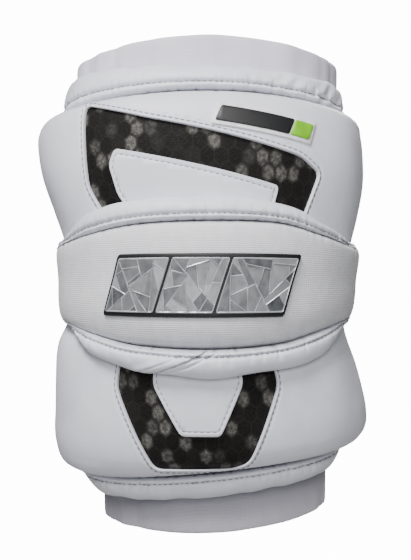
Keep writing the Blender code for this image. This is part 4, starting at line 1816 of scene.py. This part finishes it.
@dataclass
class ElbowCap:
    """Domed woven panel over the elbow, with a padded border above and a rolled binding below."""

    rise: float = 0.0385
    drop: float = 0.0407
    roll: float = 0.0100
    turn: float = 0.66
    columns: int = 280
    rows: int = 72

    def seams(self, form: GuardForm) -> tuple[Edge, Edge]:
        """Seams of the panel.

        Args:
            form: the guard's form.

        Returns:
            The lower seam and the upper one.
        """
        return (
            form.cap_line("bottom_seam", -form.panel_drop),
            form.cap_line("top_seam", form.panel_rise),
        )

    def surface(self, form: GuardForm) -> Surface:
        """Offset of the panel's outer face.

        Args:
            form: the guard's form.

        Returns:
            The function.
        """
        bottom, top = self.seams(form)
        cloth = Cloth(37)

        def offset_at(angle: Array, height: Array) -> Array:
            """Offset of the face at a pattern place.

            Args:
                angle: angles round the arm, in degrees.
                height: heights from the elbow line.

            Returns:
                One value for each place.
            """
            low, high = bottom(angle), top(angle)
            share = np.clip((height - low) / (high - low), 0.0, 1.0)
            end = round_end(angle, form.cap_end_start, form.cap_reach)
            q = form.along(angle)
            dome = form.cap_dome(angle, share)
            from_top, from_bottom = high - height, height - low
            front = near_front(angle)
            dome = dome - end * front * 0.0020 * bump(from_top, 0.0012)
            turned_in = 0.0034 * bump(from_bottom, 0.0075) + 0.0026 * bump(from_bottom, 0.0022)
            dome = dome - end * front * turned_in
            tight = cloth.puckers(q, 0.0085, 0.0011)
            dome = dome - 0.0007 * end * tight * bump(from_top, 0.0038)
            dome = dome - 0.0005 * end * Cloth(41).puckers(q, 0.011, 0.0016) * bump(from_bottom, 0.0050)
            swell = cloth.waves(q, height, 0.024)
            return form.cap_seat(angle, height) + np.maximum(dome + 0.00022 * swell * end, 0.0010)

        return offset_at

    def build_panel(self, shop: Workshop) -> None:
        """Makes the panel, filled by its foam.

        Args:
            shop: the form and the finishes.
        """
        form = shop.form
        bottom, top = self.seams(form)
        piece = quilt_block("cap_panel", self.columns, self.rows)
        points = read_points(piece)
        angle = (points[:, 0] * 2 - 1) * form.cap_reach
        t = points[:, 1]
        share = t - 0.7 * np.sin(math.tau * t) / math.tau
        low, high = bottom(angle), top(angle)
        height = low + (high - low) * share
        seat = form.cap_seat(angle, height)
        face = self.surface(form)(angle, height)
        shop.lay(piece, angle, height, seat + points[:, 2] * (face - seat))
        front = near_front(angle)
        # Painted shade along the upper seam with its puckers and along the lower seam, and a wider, fainter
        # painted shade on the panel's lower part where it turns under.
        ticks = Cloth(43).puckers(form.along(angle), 0.0100, 0.0012)
        dark = (0.35 + 0.55 * ticks) * bump(high - height, 0.0009)
        dark = front * (dark + 0.7 * bump(height - low, 0.0009) + 0.13 * bump(height - low, 0.0110))
        write_mask(piece, "crease_and_painted_shade", dark)
        shop.finish(piece, shop.nylon, ("elbow_cap",))

    def build(self, shop: Workshop) -> None:
        """Makes every piece of the cap.

        Args:
            shop: the form and the finishes.
        """
        form = shop.form
        bottom, top = self.seams(form)
        self.build_panel(shop)

        def thick(angle: Array) -> Array:
            """Thickness of a strip at an angle."""
            return self.roll * around(angle, form.cap_side, 1.0, form.cap_side)

        shared: dict[str, Any] = {
            "seat": form.cap_seat,
            "roll": thick,
            "reach": form.cap_reach,
            "end_start": form.cap_end_start,
            "turn": self.turn,
            "lip": form.cap_lip,
        }
        border = Roll(
            name="cap_border_cover",
            node="cap_top_border",
            edge=form.cap_line("top", self.rise),
            seam=lambda angle: top(angle) + form.gap,
            groove=0.75,
            groove_depth=0.0011,
            seed=53,
            crease_from=0.75,
            **shared,
        )
        binding = Roll(
            name="cap_binding_cover",
            node="cap_bottom_binding",
            edge=form.cap_line("bottom", -self.drop),
            seam=lambda angle: bottom(angle) - form.gap,
            groove=0.80,
            groove_depth=0.0013,
            seed=59,
            folded_at=-0.036,
            **shared,
        )
        for strip in (border, binding):
            strip.build(shop)


@dataclass
class Bindings:
    """Rolled strips along the outer end of each pad."""

    upper_width: float = 0.0138
    upper_roll: float = 0.0085
    upper_tilt: float = 0.0025
    upper_right: float = 0.5
    lower_width: float = 0.0135
    lower_roll: float = 0.0095
    lower_left: float = 1.4
    lip: float = 0.0015
    turn: float = 0.80

    def build(self, shop: Workshop) -> None:
        """Makes both strips and their stitches.

        Args:
            shop: the form and the finishes.
        """
        form = shop.form

        def seat(angle: Array, height: Array) -> Array:
            """Offset of the strips' inner faces."""
            return form.pad_seat + 0.0 * (angle + height)

        def upper_edge(angle: Array) -> Array:
            """Height of the upper strip's free edge."""
            return form.upper_seam_height + self.upper_width - self.upper_tilt * sine(angle)

        def lower_edge(angle: Array) -> Array:
            """Height of the lower strip's free edge."""
            return form.lower_seam(angle) - self.lower_width

        shared: dict[str, Any] = {
            "seat": seat,
            "reach": form.pad_reach,
            "end_start": form.pad_end_start,
            "turn": self.turn,
            "lip": self.lip,
        }
        upper = Roll(
            name="upper_binding_cover",
            node="upper_binding",
            edge=upper_edge,
            seam=lambda angle: form.upper_seam(angle) + form.gap,
            roll=lambda angle: self.upper_roll * around(angle, 1.0, 1.0, self.upper_right),
            groove=0.72,
            groove_depth=0.0012,
            seed=71,
            crease_from=0.35,
            slim_ends=0.5,
            **shared,
        )
        lower = Roll(
            name="lower_binding_cover",
            node="lower_binding",
            edge=lower_edge,
            seam=lambda angle: form.lower_seam(angle) - form.gap,
            roll=lambda angle: self.lower_roll * around(angle, self.lower_left, 1.0, 1.0),
            groove=0.76,
            groove_depth=0.0011,
            seed=83,
            **shared,
        )
        for strip in (upper, lower):
            strip.build(shop)


def slanted_bar(start: float, end: float, height: float, slant: float) -> Outline:
    """Bar along the pattern, with its two ends slanted alike.

    Args:
        start: where it starts along the pattern.
        end: where it ends.
        height: its height.
        slant: how far its top is moved along from its bottom.

    Returns:
        Its four corners.
    """
    lean = slant / 2
    return [
        (start - lean, -height / 2),
        (end - lean, -height / 2),
        (end + lean, height / 2),
        (start + lean, height / 2),
    ]


def moved_outline(points: Outline, right: float, up: float, turn: float = 0.0) -> Outline:
    """Outline turned about the pattern's origin and then moved."""
    cosine, side = math.cos(math.radians(turn)), math.sin(math.radians(turn))
    return [(right + x * cosine - y * side, up + x * side + y * cosine) for x, y in points]


@dataclass
class Emblem:
    """Slanted emblem on the cap: a dark backing with three bright faceted blocks."""

    length: float = 0.112
    height: float = 0.0265
    slant: float = 0.012
    corner: float = 0.0020
    edge: float = 0.0018
    groove: float = 0.0016
    thickness: float = 0.0012
    right: float = -0.004
    cells: tuple[float, ...] = (0.0, 0.30, 0.62, 1.0)
    facet_lines: int = 19
    facet_rise: float = 0.0005
    facet_lean: float = 0.07
    ridge: float = 0.00035

    def build_backing(self, shop: Workshop, surface: Surface) -> None:
        """Makes the dark backing.

        Args:
            shop: the form and the finishes.
            surface: offset of the surface that it lies on.
        """
        bar = slanted_bar(-self.length / 2, self.length / 2, self.height, self.slant)
        outline = spaced(rounded(moved_outline(bar, self.right, 0.0), self.corner), 0.0008)
        piece = flat_plate("emblem_backing", outline, self.thickness - 0.0003)
        step_in(piece, ((0.00012, 0.00016), (0.00022, 0.00014)))
        score(piece)
        shop.lay_plate(piece, surface, shop.form.gap)
        shop.finish(piece, shop.black, ("badge_backing",))

    def build_block(self, shop: Workshop, surface: Surface, number: int) -> None:
        """Makes one bright block, pressed in facets.

        Args:
            shop: the form and the finishes.
            surface: offset of the surface that it lies on.
            number: number of the block, from 1.
        """
        start, end = -self.length / 2 + self.edge, self.length / 2 - self.edge
        low, high = self.cells[number - 1], self.cells[number]
        first = start + (end - start) * low + (self.groove / 2 if low > 0 else 0.0)
        last = start + (end - start) * high - (self.groove / 2 if high < 1 else 0.0)
        share = 1 - 2 * self.edge / self.height
        bar = slanted_bar(first, last, self.height * share, self.slant * share)
        outline = spaced(rounded(moved_outline(bar, self.right, 0.0), self.corner / 2), 0.0010)
        piece = flat_plate(f"emblem_block_{number}", outline, self.thickness - 0.0004)
        step_in(piece, ((0.00035, 0.00035),))
        self.press(piece, 7 * number)
        score(piece, 2 * SCORE_STEP)
        shop.lay_plate(piece, surface, shop.form.gap + self.thickness)
        shop.finish(piece, shop.foil, (f"badge_block_{number}",))
        select_only(piece)
        bpy.ops.object.shade_flat()

    def press(self, piece: bpy.types.Object, seed: int) -> None:
        """Presses facets into the top of a block, with a raised ridge between each two, and paints each facet
        a reflection tone, with the ridges as a painted highlight.

        Args:
            piece: the block.
            seed: seed of the draws.
        """
        made = np.random.default_rng(seed)
        work = bmesh.new()
        work.from_mesh(piece.data)
        tone = work.faces.layers.float.new("painted_facet_reflection")
        work.faces.ensure_lookup_table()
        height = max(face.calc_center_median().z for face in work.faces)
        facets = [face for face in work.faces if face.calc_center_median().z > height - SAME_LEVEL]
        # Painted highlight: the ridges and sides keep a bright tone.
        for face in work.faces:
            face[tone] = 0.9
        for _ in range(self.facet_lines):
            largest = max(facets, key=lambda face: face.calc_area())
            facets.remove(largest)
            facets += self.crack(work, largest, made)
        ridge = self.ridge
        for face in facets:
            face.select_set(True)
        bmesh.ops.inset_individual(work, faces=facets, thickness=ridge, depth=-self.facet_rise / 2)
        for face in facets:
            middle = face.calc_center_median()
            lean_x, lean_y = made.uniform(-1.0, 1.0, 2) * self.facet_lean
            # Painted reflection: a tone from dark to light for each facet.
            face[tone] = float(made.choice((0.05, 0.20, 0.35, 0.50, 0.75)) + made.uniform(-0.05, 0.05))
            for vert in face.verts:
                vert.co.z += float(lean_x * (vert.co.x - middle.x) + lean_y * (vert.co.y - middle.y))
        work.to_mesh(piece.data)
        work.free()

    def crack(
        self, work: bmesh.types.BMesh, face: bmesh.types.BMFace, made: np.random.Generator
    ) -> list[Any]:
        """Splits one facet in two along a straight line near its middle.

        Args:
            work: mesh that the facet is in.
            face: the facet.
            made: source of chance.

        Returns:
            The two new facets.
        """
        corners = [vert.co.copy() for vert in face.verts]
        middle = face.calc_center_median()
        longest = max(((a - b) for a in corners for b in corners), key=lambda run: run.length)
        across = Vector((longest.x, longest.y, 0.0)).normalized()
        across.rotate(Matrix.Rotation(float(made.normal(0.0, 0.55)), 3, "Z"))
        spot = middle + across * float(made.uniform(-0.12, 0.12)) * longest.length
        geom = [face, *face.edges, *face.verts]
        cut = bmesh.ops.bisect_plane(work, geom=geom, dist=1e-6, plane_co=spot, plane_no=across)
        return [part for part in cut["geom"] if isinstance(part, bmesh.types.BMFace)]

    def build(self, shop: Workshop, surface: Surface) -> None:
        """Makes the emblem on a surface.

        Args:
            shop: the form and the finishes.
            surface: offset of the surface that it lies on.
        """
        self.build_backing(shop, surface)
        for number in range(1, len(self.cells)):
            self.build_block(shop, surface, number)


@dataclass
class Label:
    """Small slanted label: a pale moulded base with a dark bar and a bright end block."""

    length: float = 0.045
    end_length: float = 0.013
    height: float = 0.0085
    slant: float = 0.003
    turn: float = -7.0
    thickness: float = 0.0012
    corner: float = 0.0010
    left: float = 0.0065
    drop: float = 0.0155

    def plate(
        self, shop: Workshop, name: str, bar: Outline, surface: Surface, low: float
    ) -> bpy.types.Object:
        """One bevelled plate of the label, laid on a surface.

        Args:
            shop: the form and the finishes.
            name: name of what is made.
            bar: its corners before it is moved and turned.
            surface: offset of the surface that it lies on.
            low: level of its underside.

        Returns:
            The plate, without a finish.
        """
        place = (self.left, shop.form.upper_seam_height - self.drop, self.turn)
        outline = spaced(rounded(moved_outline(bar, *place), self.corner), 0.0007)
        piece = flat_plate(name, outline, self.thickness - 0.0004)
        step_in(piece, ((0.00014, 0.00020), (0.00024, 0.00014)))
        score(piece)
        shop.lay_plate(piece, surface, low)
        return piece

    def build(self, shop: Workshop, surface: Surface) -> None:
        """Makes the label on a surface.

        Args:
            shop: the form and the finishes.
            surface: offset of the surface that it lies on.
        """
        gap = shop.form.gap
        start = self.length + 2 * gap
        bar = slanted_bar(0.0, self.length, self.height, self.slant)
        end = slanted_bar(start, start + self.end_length, self.height, self.slant)
        whole = slanted_bar(-0.0020, start + self.end_length + 0.0020, self.height + 0.0040, self.slant)
        base = self.plate(shop, "label_base", whole, surface, 0.0)
        shop.finish(base, shop.white)
        black = self.plate(shop, "label_dark", bar, surface, gap + 0.0003)
        shop.finish(black, shop.black, ("label_bar",))
        bright = self.plate(shop, "label_bright", end, surface, gap + 0.0003)
        shop.finish(bright, shop.green, ("label_end",))


@dataclass
class Studio:
    """Pale seamless floor, soft lights and the camera of the photograph."""

    distance: float = 1.2
    pixel: float = 0.00055
    frame_height: int = 560
    sensor: float = 24.0
    centre: tuple[float, float] = (-0.000825, 0.00275)
    floor: float = -0.30
    floor_reach: float = 3.0
    floor_level: float = 1.2
    floor_curve: float = 1.2
    white: float = 14.0
    ambient: float = 0.07

    def build_camera(self) -> None:
        """Looks straight at the front of the guard."""
        data = bpy.data.cameras.new("camera")
        data.sensor_fit = "AUTO"
        data.sensor_width = self.sensor
        data.lens = self.sensor * self.distance / (self.frame_height * self.pixel)
        camera = bpy.data.objects.new("camera", data)
        camera.location = (self.centre[0], -self.distance, self.centre[1])
        camera.rotation_euler = (math.pi / 2, 0.0, 0.0)
        bpy.context.scene.collection.objects.link(camera)
        bpy.context.scene.camera = camera

    def build_floor(self) -> None:
        """Floor that curves up into a wall behind."""
        bpy.ops.object.select_all(action="DESELECT")
        bpy.ops.mesh.primitive_grid_add(x_subdivisions=2, y_subdivisions=48, size=2.0)
        piece = bpy.context.object
        piece.name = "studio_floor"
        points = read_points(piece)
        run = (points[:, 1] + 1) * self.floor_reach - self.floor_reach
        bend = np.clip((run - self.floor_level) / self.floor_curve, 0.0, 1.0) * math.pi / 2
        radius = self.floor_curve / (math.pi / 2)
        back = np.minimum(run, self.floor_level) + radius * np.sin(bend)
        wall = np.maximum(run - self.floor_level - self.floor_curve, 0.0) * 3
        up = self.floor + radius * (1 - np.cos(bend)) + wall
        write_points(piece, np.stack((points[:, 0] * 4.0, back, up), axis=-1))
        made, shader, bench = new_material("studio_paper")
        shader.inputs["Base Color"].default_value = (0.30, 0.30, 0.30, 1.0)
        shader.inputs["Roughness"].default_value = 0.9
        shader.inputs["Emission Color"].default_value = (1.0, 1.0, 1.0, 1.0)
        camera_ray = bench.add("ShaderNodeLightPath").outputs["Is Camera Ray"]
        front = bench.maths("SUBTRACT", 1.0, bench.add("ShaderNodeNewGeometry").outputs["Backfacing"])
        bench.tree.links.new(front, shader.inputs["Alpha"])
        glow = bench.maths("MULTIPLY", camera_ray, self.white)
        bench.tree.links.new(glow, shader.inputs["Emission Strength"])
        piece.data.materials.append(made)
        select_only(piece)
        bpy.ops.object.shade_smooth()

    def add_light(self, name: str, place: Sequence[float], size: float, watts: float) -> None:
        """Square soft light that faces the guard.

        Args:
            name: name of the light.
            place: where it stands.
            size: side of the square.
            watts: its power.
        """
        data = bpy.data.lights.new(name, "AREA")
        data.size = size
        data.energy = watts
        light = bpy.data.objects.new(name, data)
        light.location = place
        light.rotation_euler = (-Vector(place)).to_track_quat("-Z", "Y").to_euler()
        bpy.context.scene.collection.objects.link(light)

    def build(self) -> None:
        """Makes the whole studio."""
        self.build_camera()
        self.build_floor()
        self.add_light("key", (-0.38, -0.84, 1.14), 0.50, 35.0)
        self.add_light("front", (0.0, -1.55, 0.55), 0.70, 16.0)
        self.add_light("back", (0.40, 1.40, 0.90), 0.90, 22.0)
        world = bpy.data.worlds.new("studio")
        world.use_nodes = True
        backdrop = world.node_tree.nodes["Background"]
        backdrop.inputs["Color"].default_value = (0.94, 0.95, 1.0, 1.0)
        bench = NodeBench(world.node_tree)
        camera_ray = bench.add("ShaderNodeLightPath").outputs["Is Camera Ray"]
        strength = bench.maths("MULTIPLY_ADD", camera_ray, self.white, self.ambient)
        bench.tree.links.new(strength, backdrop.inputs["Strength"])
        bpy.context.scene.world = world


def pads(form: GuardForm) -> tuple[Pad, Pad]:
    """The two pads, with their windows placed below or above their seams.

    Args:
        form: the guard's form.

    Returns:
        The upper and the lower pad.
    """
    below_seam, above_seam = 0.0070, 0.0045
    upper_width, upper_height = 0.152, 0.060
    lower_width, lower_height = 0.105, 0.059
    upper_base = form.upper_seam_height - below_seam - upper_height
    upper_box = (-0.081, upper_base, upper_width, upper_height)
    lower_box = (-0.0605, above_seam - form.lower_seam_height, lower_width, lower_height)
    upper = Pad(
        Half.UPPER,
        placed(
            [(0.10, 0.0), (0.015, 0.30), (0.02, 1.0), (0.30, 0.83), (0.92, 0.53), (1.02, 0.41), (0.945, 0.0)],
            *upper_box,
        ),
        placed(
            [(0.23, 0.0), (0.155, 0.22), (0.128, 0.46), (0.16, 0.59), (0.83, 0.28), (0.80, 0.0)],
            *upper_box,
        ),
    )
    lower = Pad(
        Half.LOWER,
        placed(
            [(0.02, 1.0), (-0.012, 0.68), (0.21, 0.0), (0.70, 0.0), (0.80, 0.06), (1.0, 0.72), (0.96, 1.0)],
            *lower_box,
        ),
        placed(
            [(0.24, 1.0), (0.23, 0.72), (0.39, 0.31), (0.63, 0.31), (0.78, 0.74), (0.76, 1.0)],
            *lower_box,
        ),
    )
    return upper, lower


def main() -> None:
    """Builds the studio and dresses the guard, piece by piece."""
    logging.basicConfig(level=logging.INFO, format="%(name)s: %(message)s")
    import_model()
    Studio().build()
    shop = Workshop.opened()
    upper, lower = pads(shop.form)
    upper.build(shop)
    lower.build(shop)
    Bindings().build(shop)
    cap = ElbowCap()
    cap.build(shop)
    KnitSleeve().build(shop)
    Emblem().build(shop, cap.surface(shop.form))
    Label().build(shop, upper.cover(shop.form))


if __name__ == "__main__":
    main()
